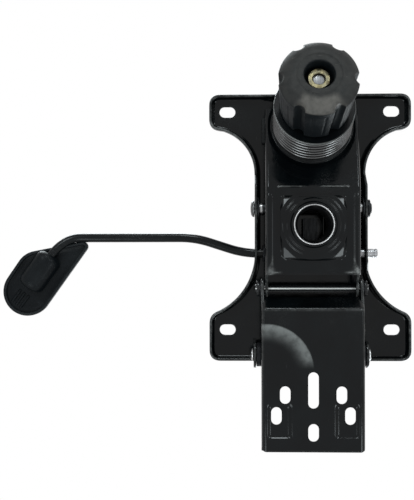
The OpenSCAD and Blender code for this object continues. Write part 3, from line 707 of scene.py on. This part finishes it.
def seat_lugs():
    """Rear lugs of the seat plate: two flat tongues with round ends, slotted for the link pins."""
    y, r = LINK[0], 12
    lug = np.concatenate([
        [(y - r, SEAT_UNDER + 1)], arc(LINK, r, 180, 360, 17),
        [(y + r, SEAT_UNDER - 5), (y + 6, SEAT_UNDER + 1)],
    ])
    link_slot = stadium(12, 10, 0, (y + 1, LINK[1] + 0.15))
    return both_walls(spaced(lug, 1.2), [link_slot], LUG_IN, LUG_IN + SHEET)


def plug(loop, rows):
    """A closed shape from a band round a loop, with a flat face at each end."""
    ends = [filled([drawn_in(loop, inset)], z) for inset, z in (rows[0], rows[-1])]
    return joined(skirt(loop, rows), *ends)


def seat_cutters():
    """Upright slots through both waist walls for the lever rod, and round holes for the seat pivot."""
    rows = [(0, WALL_IN - 2), (0, WALL_OUT + 2)]
    loops = stadium(15, 10, QUARTER, (LEVER[0], LEVER[1] + 2.5)), round_hole(14.1, PIVOT, 24)
    return [mirrored(across(plug(loop, rows), (0, 0))) for loop in loops]


def housing_floor():
    """Pan of the housing as a grid across and along it. Across, the line runs up one wall, round a
    bend and over the floor; along it, the floor rises from the crease as the sloped panel. The pad
    round the socket stands lower by a step, widens at the rear and is drawn up at its rear edge."""
    bend, wall, soft = 3.2, 8.3, 1.6
    half = HOUSE_OUT - LAP
    reach = half - bend
    fine = np.linspace(32.5, reach, 25)
    flat = np.unique(np.concatenate([np.linspace(-reach, reach, 81), fine, -fine]))[1:-1]
    line_x, line_up = pan_line(half, bend, wall, flat, 9)
    runs = ((HOUSE_FRONT, -37, 60), (-37, -29, 33), (-29, 34, 80), (34, FLOOR_REAR, 30))
    X, Y = np.meshgrid(line_x, np.unique(np.concatenate([np.linspace(*run) for run in runs])))
    wide = np.abs(X)
    ahead = CREASE_Y - Y
    base = FLOOR_Z + math.tan(TILT) * 0.5 * (ahead + np.sqrt(ahead * ahead + soft * soft))
    base = base + 1.8 * ramp(Y, FLOOR_REAR - 2.2, FLOOR_REAR + 0.4)
    pad_half = 35.4 + 2.6 * ramp(Y, 30, 43)
    step = ramp(wide, pad_half - 1.2, pad_half + 1.2) * ramp(Y, -29, -24)
    corner = ramp(wide, 28, 36) * ramp(Y, 36.0, 42.0)
    level = base + np.maximum(step, corner)
    crease_end = 1 - ramp(wide, 29, 32)
    ridge = 0.96 * bell(Y, CREASE_Y, 0.8) * ramp(wide, 3, 14) * crease_end
    dish = np.hypot(X, (Y - BOLT_FOOT[1]) / math.cos(TILT))
    panel = 1.2 * (1 - ramp(dish, 36.5, 40.0)) * (Y < CREASE_Y)
    # Painted highlights, kept as the sheet's worn values: bright lines along the pad's edges, widening
    # towards its rear corners, across the rear bend and along the crease
    flare = bell(wide, pad_half, 0.8 + 2.2 * ramp(Y, 32, 42)) * ramp(Y, 24, 40)
    flare = flare + bell(Y, 41.5, 0.9) * ramp(wide, 25, 36)
    flare = flare + bell(Y, CREASE_Y - 0.4, 0.5) * ramp(wide, 4, 12) * crease_end
    outer = np.stack([X, Y, level + line_up - ridge + panel], -1)
    return sheet_metal(outer, 2.0 * np.clip(flare, 0, 1))


def boss():
    """Boss round the socket as rays from its axis. Each ray starts at a square foot with cut corners,
    nearer in front than at the rear, climbs the side, or the corner's slope 1 - t^k, to the brow, goes
    in over three ring steps, and turns up into the bore. The corner slopes are parts of a cone, even
    in front and hollow at the rear, and fall away along the square's sides."""
    half, front, rear, raised, bore = 28.6, 25.4, 31.2, 3.6, 17.55
    a = round_angles(320)
    c, s = np.cos(a), np.sin(a)
    along, corner, brow_corner, hollow = (
        np.where(s > 0, *pair) for pair in ((rear, front), (38.9, 38.3), (29.4, 30.6), (1.6, 1.05))
    )
    side = np.minimum(half / np.maximum(np.abs(c), 1e-6), along / np.maximum(np.abs(s), 1e-6))
    foot = np.minimum(side, corner)
    brow = np.minimum(0.98 * side, brow_corner)
    t = [0.0, 0.0], np.linspace(0.03, 0.3, 8), [0.4, 0.5, 0.6, 0.7, 0.8, 0.9, 0.96, 1.0]
    climb = foot + (brow - foot) * np.concatenate(t)[:, None]
    out = np.clip((climb - brow_corner) / (corner - brow_corner), 0, 1)
    inset = np.minimum(half - np.abs(climb * c), along - np.abs(climb * s))
    fall = ramp(inset, -0.6, 2.6)
    slope = raised * (1 - out**hollow) * (1 + (fall - 1) * ramp(out, 0.0, 0.25))
    slope[0] = -1.0
    slope[1] = slope[1] * 0.8
    r = np.concatenate([np.linspace(27.9, 17.6, 70), [bore, bore]])
    steps = sum(h * (1 - ramp(r, k - 1.1, k + 0.5)) for k, h in ((27.2, 0.7), (23.4, 0.9), (20.0, 3.2)))
    steps[-1] = -raised - 2.0
    r = r[:, None]
    radius = np.minimum(r, 0.98 * brow - 0.02 * np.arange(len(r))[:, None])
    radius = np.concatenate([climb, np.where(r < 22, r, radius)])
    drop = np.concatenate([slope, np.repeat(raised + steps[:, None], len(a), 1)])
    return wheel(polar(radius, a, FLOOR_Z - drop))


def housing():
    """Housing walls: two sides with the rod ears and a notch for the lever in their upper edges, front,
    rear, and the round tongue of the panel."""
    lift, ear_r, notch_r = 7.0, 8.5, 6.2
    front_z = FLOOR_Z + (CREASE_Y - HOUSE_FRONT) * math.tan(TILT)
    side = np.concatenate([
        [(HOUSE_FRONT, front_z + lift), (HOUSE_FRONT, HOUSE_TOP), (PIVOT[0] + 31, HOUSE_TOP)],
        arc(LEVER, notch_r, 110.5, 393.7, 20),
        arc(BACK, ear_r, 70, -125, 16),
        [(FLOOR_REAR, FLOOR_Z + lift + 4), (FLOOR_REAR - 8, FLOOR_Z + lift), (CREASE_Y, FLOOR_Z + lift)],
    ])
    cuts = [1, 3, 6, 0.7] + [0.1] * 18 + [0.7] + [0.1] * 16 + [1, 1, 4]
    holes = [round_hole(8.04, BACK), round_hole(10.04, PIVOT)]
    walls = both_walls(spaced(rounded(side, cuts, 5), 1.5), holes, HOUSE_IN, HOUSE_OUT)
    front = cross_wall(HOUSE_IN, front_z + 2, HOUSE_TOP, 1.5, HOUSE_FRONT)
    rear = cross_wall(HOUSE_IN - 0.5, FLOOR_Z + 7, FLOOR_Z + 20, 3, FLOOR_REAR - SHEET)
    tongue = turned(box_line(6.2, 35.6, -2.2, -0.3, 0.5), 96, closed=True)
    return joined(walls, front, rear, on_bolt(tongue))


def bracket():
    """Back bracket: a plate whose long edges bend up into walls, as a grid across and along it, with
    sunk corner pads at the rear and a lip at the front; the walls' ears and bosses are flat sheets."""
    bend, wall, turn, sunk = 4.5, 3.0, 4.0, 2.0
    half = BRACKET_OUT - LAP
    flat = np.linspace(bend - half, half - bend, 110)[1:-1]
    line_x, line_up = pan_line(half, bend, wall, flat, 8)
    lip = np.array([(63.5, 27.0), (72.4, 14.8), (75.5, BRACKET_Z), (BRACKET_REAR, BRACKET_Z)])
    path = spaced(rounded(lip, (0, 1.2, 2.0, 0), 6, closed=False), 0.85, closed=False)
    X, Y = np.meshgrid(line_x, path[:, 0])
    wide = np.abs(X)
    corner = ramp(wide, 17.8, 22.6) * (1 - ramp(wide, 37.0, 40.4))
    corner = corner * ramp(Y, 154.0, 159.0) * (1 - ramp(Y, 183.4, 186.8))
    crown = 0.35 * bell(X, 0, 30) * bell(Y, 118, 26)
    Z = path[:, 1:2] + line_up + sunk * corner - crown * (Y > 78)
    gone = turn - np.sqrt(turn**2 - np.clip(wide - BRACKET_OUT + turn, 0, turn) ** 2)
    Y = Y - gone * np.clip((Y - 150) / (BRACKET_REAR - 150), 0, 1)
    worn = np.clip(Y - BRACKET_REAR + 1.2, 0, 1) * 0.5 + np.clip(wide - BRACKET_OUT + 2.2, 0, 1) * 0.25
    # The 0.7 * bell(Y, 73.6, 1.0) term is a painted highlight: a bright line along the front lip
    pan = sheet_metal(np.stack([X, Y, Z], -1), worn + 0.7 * bell(Y, 73.6, 1.0))
    edge = BRACKET_Z + bend + 0.5
    side = np.concatenate([
        [(BRACKET_FRONT + 2, edge)], arc(BACK, 9, 215, 70, 12), arc(LINK, 10, 140, -10, 12),
        [(LINK[0] + 22, 34), (BRACKET_REAR, 28), (BRACKET_REAR, edge)],
    ])
    side = spaced(rounded(side, [2] + [0.1] * 24 + [6, 4, 0.5], 5), 2.0)
    holes = [round_hole(12.1, BACK), round_hole(9.04, LINK)]
    return pan, both_walls(side, holes, BRACKET_IN, BRACKET_OUT)


def bracket_cutters():
    """Six slots along the bracket; each cutter widens a little at the plate's two faces."""
    wide, short, long, flare = 9.2, 15.3, 31.5, 0.6
    spots = [(0, 53.6, long), (0, 16.8, short)]
    spots += [(s * x, y, short) for s in (-1, 1) for x, y in ((24.5, 49.5), (32.1, 31.1))]
    parts = []
    for x, y, length in spots:
        loop = stadium(length, wide, QUARTER, (x, BRACKET_REAR - y))
        low = BRACKET_Z + (2.0 if abs(x) > 30 else 0.0)
        high = low + SHEET
        rows = [(-3, low - 2.4), (-flare, low), (0, low + flare)]
        rows += [(0, high - flare), (-flare, high), (-3, high + 2.5)]
        parts.append(plug(loop, rows))
    return parts


def socket():
    """Gas-lift socket: rounded rim, tapered bore up to a straight land, and a rounded top."""
    profile = rounded([
        (16.3, 0), (17.5, 0), (17.5, 42.5), (13.6, 42.5), (13.6, 30.5), (14.3, 3.6)
    ], (0.3, 0.7, 0.8, 0.8, 2, 1), 6)
    worn = ramp(profile[:, 0], 16.3, 16.9) * (profile[:, 1] < 0.9)
    return turned(profile, 96, closed=True, wear_and_highlight=worn)


def sector(a, n):
    """The angle a counted from the nearest of n even places round the circle."""
    return (np.mod(a * n / TAU + 0.5, 1) - 0.5) * TAU / n


def knob():
    """Tension knob: a slightly flared side, and a face that falls from its flat middle to the rim as
    the square of the distance. The radius dips at six flutes and, less, at two fine grooves between
    each pair of them. A sunk ring, a recess for the nut and a bore lie in the face, which is rubbed;
    towards the rear its rubbed tone is strengthened as a painted highlight."""
    bore, recess, flat, rim, base = 5.3, 12.25, 18.5, 33.0, 29.5
    height, top, floor = KNOB_H, KNOB_H + KNOB_CROWN, KNOB_H + KNOB_CROWN - RECESS_H
    flutes, flute_r, grooves, soft, sunk, nowhere = 6, 5.1, 18, 0.8, 0.9, 60.0
    t = np.concatenate([[1.0], np.linspace(0.82, 0, 9)])
    crown = np.stack([flat + (rim - flat) * t, height + KNOB_CROWN * (1 - t * t)], 1)
    body = np.concatenate([
        [(bore, 0), (base - 1.0, 0), (base, 2.0)], crown,
        [(flat - 0.8, top - sunk), (recess + 0.8, top - sunk), (recess, top - 2.0)],
        [(recess, floor), (bore, floor)],
    ])
    cuts = [0.4, 0.8, 1.2, 1.3] + [0.5] * 8 + [0.35, 0.35, 0.5, 0.8, 0.8, 0.4]
    body = spaced(rounded(body, cuts, 7), 0.8)
    a = round_angles(432)
    r, h = body[:, :1], body[:, 1:2]
    off = sector(a, flutes)
    centre = base + (rim - base) * h / height + 0.5
    inside = np.clip(flute_r**2 - (centre * np.sin(off)) ** 2, 0, None)
    in_flute = (inside > 0) & (np.abs(off) < 0.6)
    dip = np.where(in_flute, centre * np.cos(off) - np.sqrt(inside), nowhere)
    limit = -soft * np.log(np.exp(-r / soft) + np.exp(-dip / soft))
    groove = 0.6 * bell(sector(a, grooves), 0, 0.03)
    groove = groove * ramp(h, 2, 5) * (1 - ramp(h, height - 8, height - 5))
    radius = np.where(r > recess + 7.0, np.minimum(limit, r) - groove, r)
    # Painted highlight: the rubbed face is made lighter towards the rear, where the light falls on it
    rear = ramp(-np.sin(a), 0.72, 0.9) * ramp(radius, 19.0, 24.0)
    worn = ramp(h, height - 0.6, height + 0.5) * (0.2 + 0.6 * rear) * (r > recess + 0.5)
    return on_bolt(wheel(polar(radius, a, h), worn), KNOB_BASE)


def coil(low, high, first, last):
    """Part of the spring: its wire winds round the bolt from turn first to turn last while its height
    goes evenly from low to high. A highlight is painted along its outer lower line: it falls off round
    the wire's section from that line as exp(-d^2)."""
    turns = np.linspace(first, last, int((last - first) * 72))
    z = np.interp(turns, [first, last], [low, high])
    sides, highlight_at, highlight_wide = 18, 0.7, 0.4
    points, faces, _ = swept(polar(SPRING_R - WIRE_R, turns * TAU, z), WIRE_R, sides)
    # Painted highlight: a bright line along each turn of the wire
    wear_and_highlight = bell(round_angles(sides), highlight_at, highlight_wide)
    return on_bolt((points, faces, np.tile(wear_and_highlight, len(turns) + 2)))


def bolt():
    """Tension bolt: a rolled thread on the knob's end, a plain shank, and a cross bar at its head."""
    top, end = (BOLT_FOOT[2] - 56.3) / math.cos(TILT), BOLT_END
    r, pitch, depth, thread = 5.0, 1.5, 0.55, 34.0
    h = np.arange(end - thread, end - 1.0, pitch / 8)
    wave = r - depth * (0.5 - 0.5 * np.cos(TAU * h / pitch))
    shank = turned(np.concatenate([
        [(0, top), (r, top), (r, end - thread - 0.5)],
        np.stack([wave, h], 1),
        [(4.9, end - 0.6), (4.6, end - 0.1), (4.3, end), (0, end)],
    ]), 48)
    bar = turned(rounded([(0, -13), (3, -13), (3, 13), (0, 13)], (0, 0.6, 0.6, 0), 5, closed=False), 40)
    bar = mapped(bar, np.array([[0, 0, 1], [0, 1, 0], [1, 0, 0]]), (0, 0, top))
    return on_bolt(joined(shank, bar))


def nut():
    """Hexagon nut: the radius is the hexagon's, held under a cone at each face for the chamfer."""
    across_flats, bore = 17.0, 5.1
    a = round_angles(96)
    hexagon = across_flats / 2 / np.cos(sector(a, 6))
    z = np.array([0, 0, 0.25, 0.6, 1.0, 1.4, 6.6, 7.0, 7.4, 7.75, 8, 8, 7.5, 0.5])
    limit = across_flats / 2 + 0.1 + 1.75 * np.minimum(z, NUT_H - z)
    r = np.minimum(hexagon[None], limit[:, None])
    r[0] = r[11] = bore + 0.6
    r[12] = r[13] = bore
    return on_bolt(wheel(polar(r, a, z[:, None])), NUT_BASE)


def spring_cup():
    """Steel plate under the knob: a thick rounded edge, rubbed, and lighter on the lever's side as a
    painted highlight, and a ring that centres the spring."""
    low, high, ring = SPRING_TOP, SPRING_TOP + 2.5, SPRING_TOP - 4
    profile = spaced(rounded([
        (5.1, low), (25.1, low), (25.1, ring), (30.05, ring), (30.05, low), (35, low), (35, high), (5.1, high)
    ], (0.3, 0.8, 0.6, 0.8, 0.4, 1.1, 1.1, 0.3), 6), 0.35)
    edge = ramp(profile[:, 0], 34.2, 34.9)
    points, faces, worn = on_bolt(turned(profile, 96, closed=True, wear_and_highlight=edge))
    # Painted highlight: the edge's rubbed tone is strengthened towards the lever's side (-X)
    return points, faces, worn * (0.35 + 0.65 * ramp(-points[:, 0], -20, 10))


ROD_R = 4.0
LEVER_ROUTE = np.array([
    (-45, *LEVER), (-60, *LEVER), (-104, 10.6, 47), (-216, 10.6, 43), (-230, 20.5, 42), (-254.5, 54, 42)
], float)


def lever_bar():
    """Lever rod: one painted bar swept along its bends, from inside the far wall to the paddle."""
    route = np.concatenate([[(44, *LEVER), (30, *LEVER)], LEVER_ROUTE])
    line = rounded(route, (0, 0.5, 0.5, 14, 14, 9, 8, 0), 12, closed=False)
    return swept(spaced(line, 1.6, closed=False), ROD_R, 32)


def lever_tip():
    """The rod's bare end beyond the far wall: a turned bar with a groove and a chamfer."""
    r, groove = ROD_R, 3.6
    rows = [(0, 43.5), (r, 43.5), (r, 56), (groove, 56.3), (groove, 57.2)]
    rows += [(r, 57.5), (r, 59.2), (3.3, 60), (0, 60)]
    return across(turned(rows, 40), LEVER)


def paddle_plan():
    """The paddle's outline: the outer tangent line round three circles, from the farthest circle
    point in each direction."""
    circles = np.array([(-256, 59, 22), (-246, 43.5, 21.5), (-205.5, 18.5, 4.5)], float)
    way = polar(1.0, round_angles(720), 0.0)[:, :2]
    best = np.argmax(way @ circles[:, :2].T + circles[:, 2], axis=1)
    return spaced(circles[best, :2] + way * circles[best, 2:3], 1.3)


def paddle():
    """Paddle: a dished blade as rings drawn in from its outline, with a rolled lip below and a crowned
    top; a half-round sleeve for the rod with domed ends, and three round ribs beyond the sleeve."""
    plan = paddle_plan()
    top, skin, lip, lip_wide, dish = 49.0, 3.0, 4.0, 3.0, 0.9
    under, low = top - skin, top - skin - lip
    middle = np.array([(-244.0, 44.0)])
    s = np.concatenate([np.linspace(0, 0.9, 16), [0.94, 0.97, 1.0]])[:, None, None]
    flat = middle[None] * (1 - s) + drawn_in(plan, lip_wide)[None] * s
    level = np.broadcast_to(under - dish * ramp(s, 0.82, 1.0), (*flat.shape[:2], 1))
    blade = surface(np.concatenate([flat, level], -1), grid_faces(len(s), len(plan), wrap_cols=True))
    half = lip_wide / 2
    rows = [(lip_wide, under - dish)]
    rows += [(half + half * math.cos(k), low + 1.2 - 1.2 * math.sin(k)) for k in np.linspace(0, math.pi, 9)]
    rows += [(0, top - 1.6), (0.25, top - 0.8), (0.8, top - 0.25), (1.7, top)]
    worn = [0] + [0.2, 0.5, 0.8, 1, 1, 1, 0.8, 0.5, 0.2] + [0.2, 0.4, 0.4, 0.2]
    rim = skirt(plan, rows, worn)
    cover = filled([drawn_in(plan, 1.7)], top)
    axis = unit(LEVER_ROUTE[5] - LEVER_ROUTE[4])
    side = np.array([-axis[1], axis[0], 0.0])
    start = LEVER_ROUTE[4] + 6.0 * axis
    end = LEVER_ROUTE[5] + 2.0 * axis
    hood_r, squat, spread = 12.0, 0.78, 4.4
    t = [0, 0.01, 0.04, 0.09, 0.15], np.linspace(0.22, 0.82, 16), [0.87, 0.91, 0.95, 0.98, 0.995, 1.0]
    r = [0, 0.36, 0.66, 0.87, 0.97], np.ones(16), [0.98, 0.93, 0.82, 0.62, 0.35, 0.0]
    line = start + (end - start) * np.concatenate(t)[:, None]
    b = np.linspace(math.pi, TAU, 33)[:, None]
    section = side * np.cos(b) + np.array([0, 0, squat]) * np.sin(b)
    points = line[:, None] + hood_r * np.concatenate(r)[:, None, None] * section[None]
    points[..., 2] += spread * (1 + np.sin(b[:, 0])) ** 2
    hood = surface(points, grid_faces(len(line), len(b)), 0.25)
    reach = np.linspace(-6.5, 6.5, 14)[:, None]
    heart = LEVER_ROUTE[5] + 14.5 * axis + (0, 0, 3.8)
    ribs = [swept(heart + k * side + reach * axis, 1.3, 16) for k in (-4.6, 0.0, 4.6)]
    return joined(rim, cover, blade, *ribs), hood


def ring(r0, r1, x0, x1, cut=0.45):
    """A turned ring from radius r0 to r1 and from x0 to x1 along its axis."""
    cut = min(cut, (x1 - x0) / 3, (r1 - r0) / 3)
    return turned(box_line(r0, r1, x0, x1, cut), 64, closed=True)


def rings(place, *parts):
    """Turned rings on both sides of the chair: each part is (inner radius, outer radius, start, end)."""
    return mirrored(across(joined(*(ring(*part) for part in parts)), place))


def seat_pivot():
    """Seat pivot pin: a domed head on the lever's side, a chamfered end, and a greased shank that is
    brighter in a band beside each bush."""
    x = WALL_OUT + SIDE_GAP
    dome = ((0, 3.5), (2.5, 3.4), (5.2, 2.9), (6.9, 2.0), (7.5, 1.0), (7.5, 0.3), (7.2, 0))
    head = [(r, -x - out) for r, out in dome]
    shank = np.linspace(-x, x + 3.2, 220)
    rows = head + [(5.0, k) for k in shank] + [(4.2, x + 4.0), (0, x + 4.0)]
    worn = np.concatenate([[0.15] * len(head), bell(np.abs(shank), 44.6, 0.9), [0.15, 0.15]])
    return across(turned(rows, 64, wear_and_highlight=worn), PIVOT)


def back_rod():
    """Back pivot rod: a plain bar with chamfered ends, with a highlight painted along the lowest line of its
    side, fading towards +X.
    """
    x = BRACKET_OUT + 1 + SIDE_GAP + 2.5 + 1.5
    rows = [(0, -x), (3.3, -x), (ROD_R, -x + 0.8), (ROD_R, x - 0.8), (3.3, x), (0, x)]
    points, faces, _ = across(turned(rows, 96), BACK)
    # Painted highlight: a thin bright line along the rod's lowest side, brightest towards -X
    painted_highlight_line = ramp(BACK[1] - points[:, 2], 3.93, 3.99)
    return points, faces, painted_highlight_line * (0.85 - 0.4 * ramp(points[:, 0], -15, 42))


def link_pins():
    """Rear link pins: a shank through the bracket and the lug, and a domed rivet head outside."""
    x, start = LUG_IN + SHEET + SIDE_GAP, BRACKET_IN - 1
    dome = ((4.5, 0), (5.3, 0), (5.6, 0.5), (5.3, 1.3), (4.2, 2.0), (2.4, 2.4), (0, 2.5))
    rows = [(0, start), (4.1, start), (4.5, start + 0.4)] + [(r, x + out) for r, out in dome]
    return mirrored(across(turned(rows, 48, wear_and_highlight=[0, 0, 0, 0, 0.3, 1, 0.9, 0.5, 0.3, 0.3]), LINK))


seat = piece("seat_pressing", seat_plate(), paint, "seat", "seat_plate")
for cutter in seat_cutters():
    carve(seat, cutter)
piece("seat_lugs", seat_lugs(), paint, "seat", "seat_plate")
piece("housing_walls", housing(), paint, "housing", "tilt_housing")
pan = piece("housing_pan", housing_floor(), paint, "housing", "tilt_housing")
carve(pan, turned([(0, -2), (17.52, -2), (17.52, 20), (0, 20)], 96))
piece("socket_boss", boss(), paint, "housing", "tilt_housing")
pressing, walls = bracket()
plate = piece("bracket_pressing", pressing, bracket_paint, "back", "back_bracket")
for cutter in bracket_cutters():
    carve(plate, cutter)
piece("bracket_walls", walls, paint, "back", "back_bracket")
piece("socket_tube", socket(), socket_steel, "housing", "taper_socket")
piece("seat_pivot_pin", seat_pivot(), greased, "housing", "tilt_pivot_pin")
piece("back_rod", back_rod(), rod_zinc, "housing", "back_pivot_rod")
rod_rings = rings(BACK, (4.02, 7, 46.3, 48.8))
piece("back_rod_rings", rod_rings, rod_zinc, "housing", "back_rod_clips")
guides = rings(LEVER, (4.05, 6.03, 37.7, 41.2), (4.05, 7.55, 41.2, 42.7))
piece("lever_guides", guides, nylon, "housing", "lever_bushes")
bushes = rings(PIVOT, (5.05, 7.03, 47.8, 50.3), (5.05, 10.05, 46.3, 47.8))
piece("seat_bushes", bushes, nylon, "seat", "tilt_bushes")
piece("link_rivets", link_pins(), greased, "back", "rear_link_pins")
washers = rings(LINK, (4.52, 10.8, 45.0, 48.7))
piece("link_washers", washers, spacer_plastic, "back", "rear_spacers")
piece("knob_grip", knob(), knob_plastic, "knob", "tension_knob")
piece("knob_hexagon", nut(), yellow_zinc, "knob", "knob_nut")
piece("bolt_thread", bolt(), dull_zinc, "bolt", "tension_bolt")
piece("spring_cup", spring_cup(), cup_paint, "plate", "spring_plate")
piece("lever_bar", lever_bar(), rod_paint, "lever", "lever_rod")
piece("lever_tip", lever_tip(), zinc, "lever", "lever_rod")
blade, hood = paddle()
piece("paddle_blade", blade, paddle_plastic, "lever", "lever_paddle")
piece("paddle_hood", hood, paddle_plastic, "lever", "lever_paddle")

# The spring in two parts: the lower rides with the housing, the upper with the bolt
COIL_LOW = SPRING_BASE + WIRE_R + 0.3
COIL_HIGH = SPRING_TOP - WIRE_R - 0.3
COIL_MID = COIL_LOW + (COIL_HIGH - COIL_LOW) * 0.6
TURNS, TURNS_LOW = 6.0, 3.6
low_coil = coil(COIL_LOW, COIL_MID, 0.0, TURNS_LOW)
high_coil = coil(COIL_MID, COIL_HIGH, TURNS_LOW, TURNS)
spring_low = piece("spring_low", low_coil, coil_black, "housing", "tension_spring")
spring_high = piece("spring_high", high_coil, coil_black, "bolt", "tension_spring")
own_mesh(spring_low)
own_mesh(spring_high)
clip = across(ring(5.02, 8, 50.6, 53.1, 0.6), PIVOT)
piece("pivot_ring", clip, greased, "housing", "pivot_clip")

for name, material in (
    ("spring_seat", rubber), ("stop_pads", rubber), ("anchor_saddle", paint), ("back_bushes", nylon),
    ("rocker_washer", zinc), ("lock_pawl", zinc), ("lever_collars", zinc), ("valve_finger", greased),
):
    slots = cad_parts[name].data.materials
    slots.clear()
    slots.append(material)

# The photograph's view, solved from features measured on it: where the camera stands, how it is
# turned from straight up, and its focal length in pixels of a 414 by 500 picture
PLACE = np.array([-63.1, 22.8, -838.4]) * MM
TURN = np.radians([-0.07, 1.96, -0.09])
FOCAL, TALL, SENSOR = 980.0, 500.0, 36.0


def standing(right, up, back, place):
    """The matrix of a thing at place, whose own axes point right, up and back."""
    m = np.eye(4)
    m[:3] = np.stack([right, up, back, place], 1)
    return Matrix(m.tolist())


def view_matrix():
    """The camera's matrix: the picture's right, up and backward directions, from the turn by
    Rodrigues' formula 1 + sin(w) K + (1 - cos(w)) K^2."""
    w = np.linalg.norm(TURN)
    k = TURN / w
    K = np.array([[0, -k[2], k[1]], [k[2], 0, -k[0]], [-k[1], k[0], 0]])
    R = np.eye(3) + math.sin(w) * K + (1 - math.cos(w)) * K @ K
    return standing(R[0], -R[1], -R[2], PLACE)


camera = added("camera", bpy.data.cameras.new("camera"))
camera.data.lens = FOCAL / TALL * SENSOR
camera.data.sensor_width = SENSOR
camera.data.clip_end = 20
camera.matrix_world = view_matrix()
bpy.context.scene.camera = camera


def pale_for_eye(kit, output, plain, seen):
    """Shows seen to rays that come straight from the eye, a mirror or glass, and plain to all others."""
    path = kit.node("ShaderNodeLightPath").outputs
    mirror = kit.maths("MAXIMUM", path["Is Glossy Ray"], path["Is Transmission Ray"])
    mix = kit.node("ShaderNodeMixShader")
    kit.link(kit.maths("MAXIMUM", path["Is Camera Ray"], mirror), mix.inputs[0])
    kit.link(plain.outputs[0], mix.inputs[1])
    kit.link(seen.outputs[0], mix.inputs[2])
    kit.link(mix.outputs[0], kit.tree.nodes[output].inputs["Surface"])


WHITE = (1, 1, 1, 1)
world = bpy.data.worlds.new("white_room")
bpy.context.scene.world = world
world.use_nodes = True
room = Kit(world.node_tree)
soft = room.tree.nodes["Background"]
soft.inputs["Color"].default_value = WHITE
soft.inputs["Strength"].default_value = 0.2
white = room.node("ShaderNodeBackground", Color=WHITE, Strength=1.0)
pale_for_eye(room, "World Output", soft, white)

# Pale floor: it glows, and is matt besides, so that the lamps' shadow shows on it
FLOOR_HALF, FLOOR_DEPTH = 12.0, -1.6
floor_mesh = bpy.data.meshes.new("floor")
floor_mesh.from_pydata([
    (sx * FLOOR_HALF, sy * FLOOR_HALF, FLOOR_DEPTH) for sx, sy in ((-1, -1), (1, -1), (1, 1), (-1, 1))
], [], [(0, 1, 2, 3)])
ground = Finish("pale_floor")
glow = ground.node("ShaderNodeEmission", Strength=0.92)
matt = ground.node("ShaderNodeBsdfDiffuse", Color=(0.25, 0.25, 0.25, 1))
pale = ground.node("ShaderNodeAddShader")
ground.link(glow.outputs[0], pale.inputs[0])
ground.link(matt.outputs[0], pale.inputs[1])
tent = ground.node("ShaderNodeEmission", Color=(0.86, 0.95, 1.0, 1), Strength=0.85)
pale_for_eye(ground, "Material Output", tent, pale)
floor_mesh.materials.append(ground.material)
added("floor", floor_mesh)


def lamp(name, place, aim, size, watts):
    """A soft square lamp at place, turned to aim; the camera doesn't see it."""
    data = bpy.data.lights.new(name, "AREA")
    data.size = size
    data.energy = watts
    data.color = (0.88, 0.97, 1.0)
    back = unit(np.array(place, float) - np.array(aim, float))
    right = unit(np.cross((0, 1, 0.01), back))
    obj = added(name, data)
    obj.matrix_world = standing(right, np.cross(back, right), back, place)
    obj.visible_camera = False


for name, place, size, watts in (
    ("front_left", (-0.58, -0.56, -0.68), 0.26, 3.4),
    ("front_right", (0.68, -0.52, -0.55), 0.26, 3.4),
    ("rear_right", (0.64, 0.52, -0.75), 0.34, 4.2),
    ("rear_left", (-0.49, 0.61, -0.79), 0.5, 5.0),
    ("left", (-1.0, 0.05, -0.5), 0.24, 0.4),
    ("right", (1.0, 0.05, -0.5), 0.2, 0.5),
    ("front", (0.0, -1.0, -0.5), 0.24, 4.0),
):
    lamp(name, place, (0, 0, 0.03), size, watts)
lamp("above_front", (-0.4, -0.8, 1.0), (0, 0, 0.05), 0.8, 16)
lamp("above_rear", (0.6, 0.8, 0.9), (0, 0.05, 0.05), 0.8, 14)

bpy.context.scene.view_settings.view_transform = "Standard"
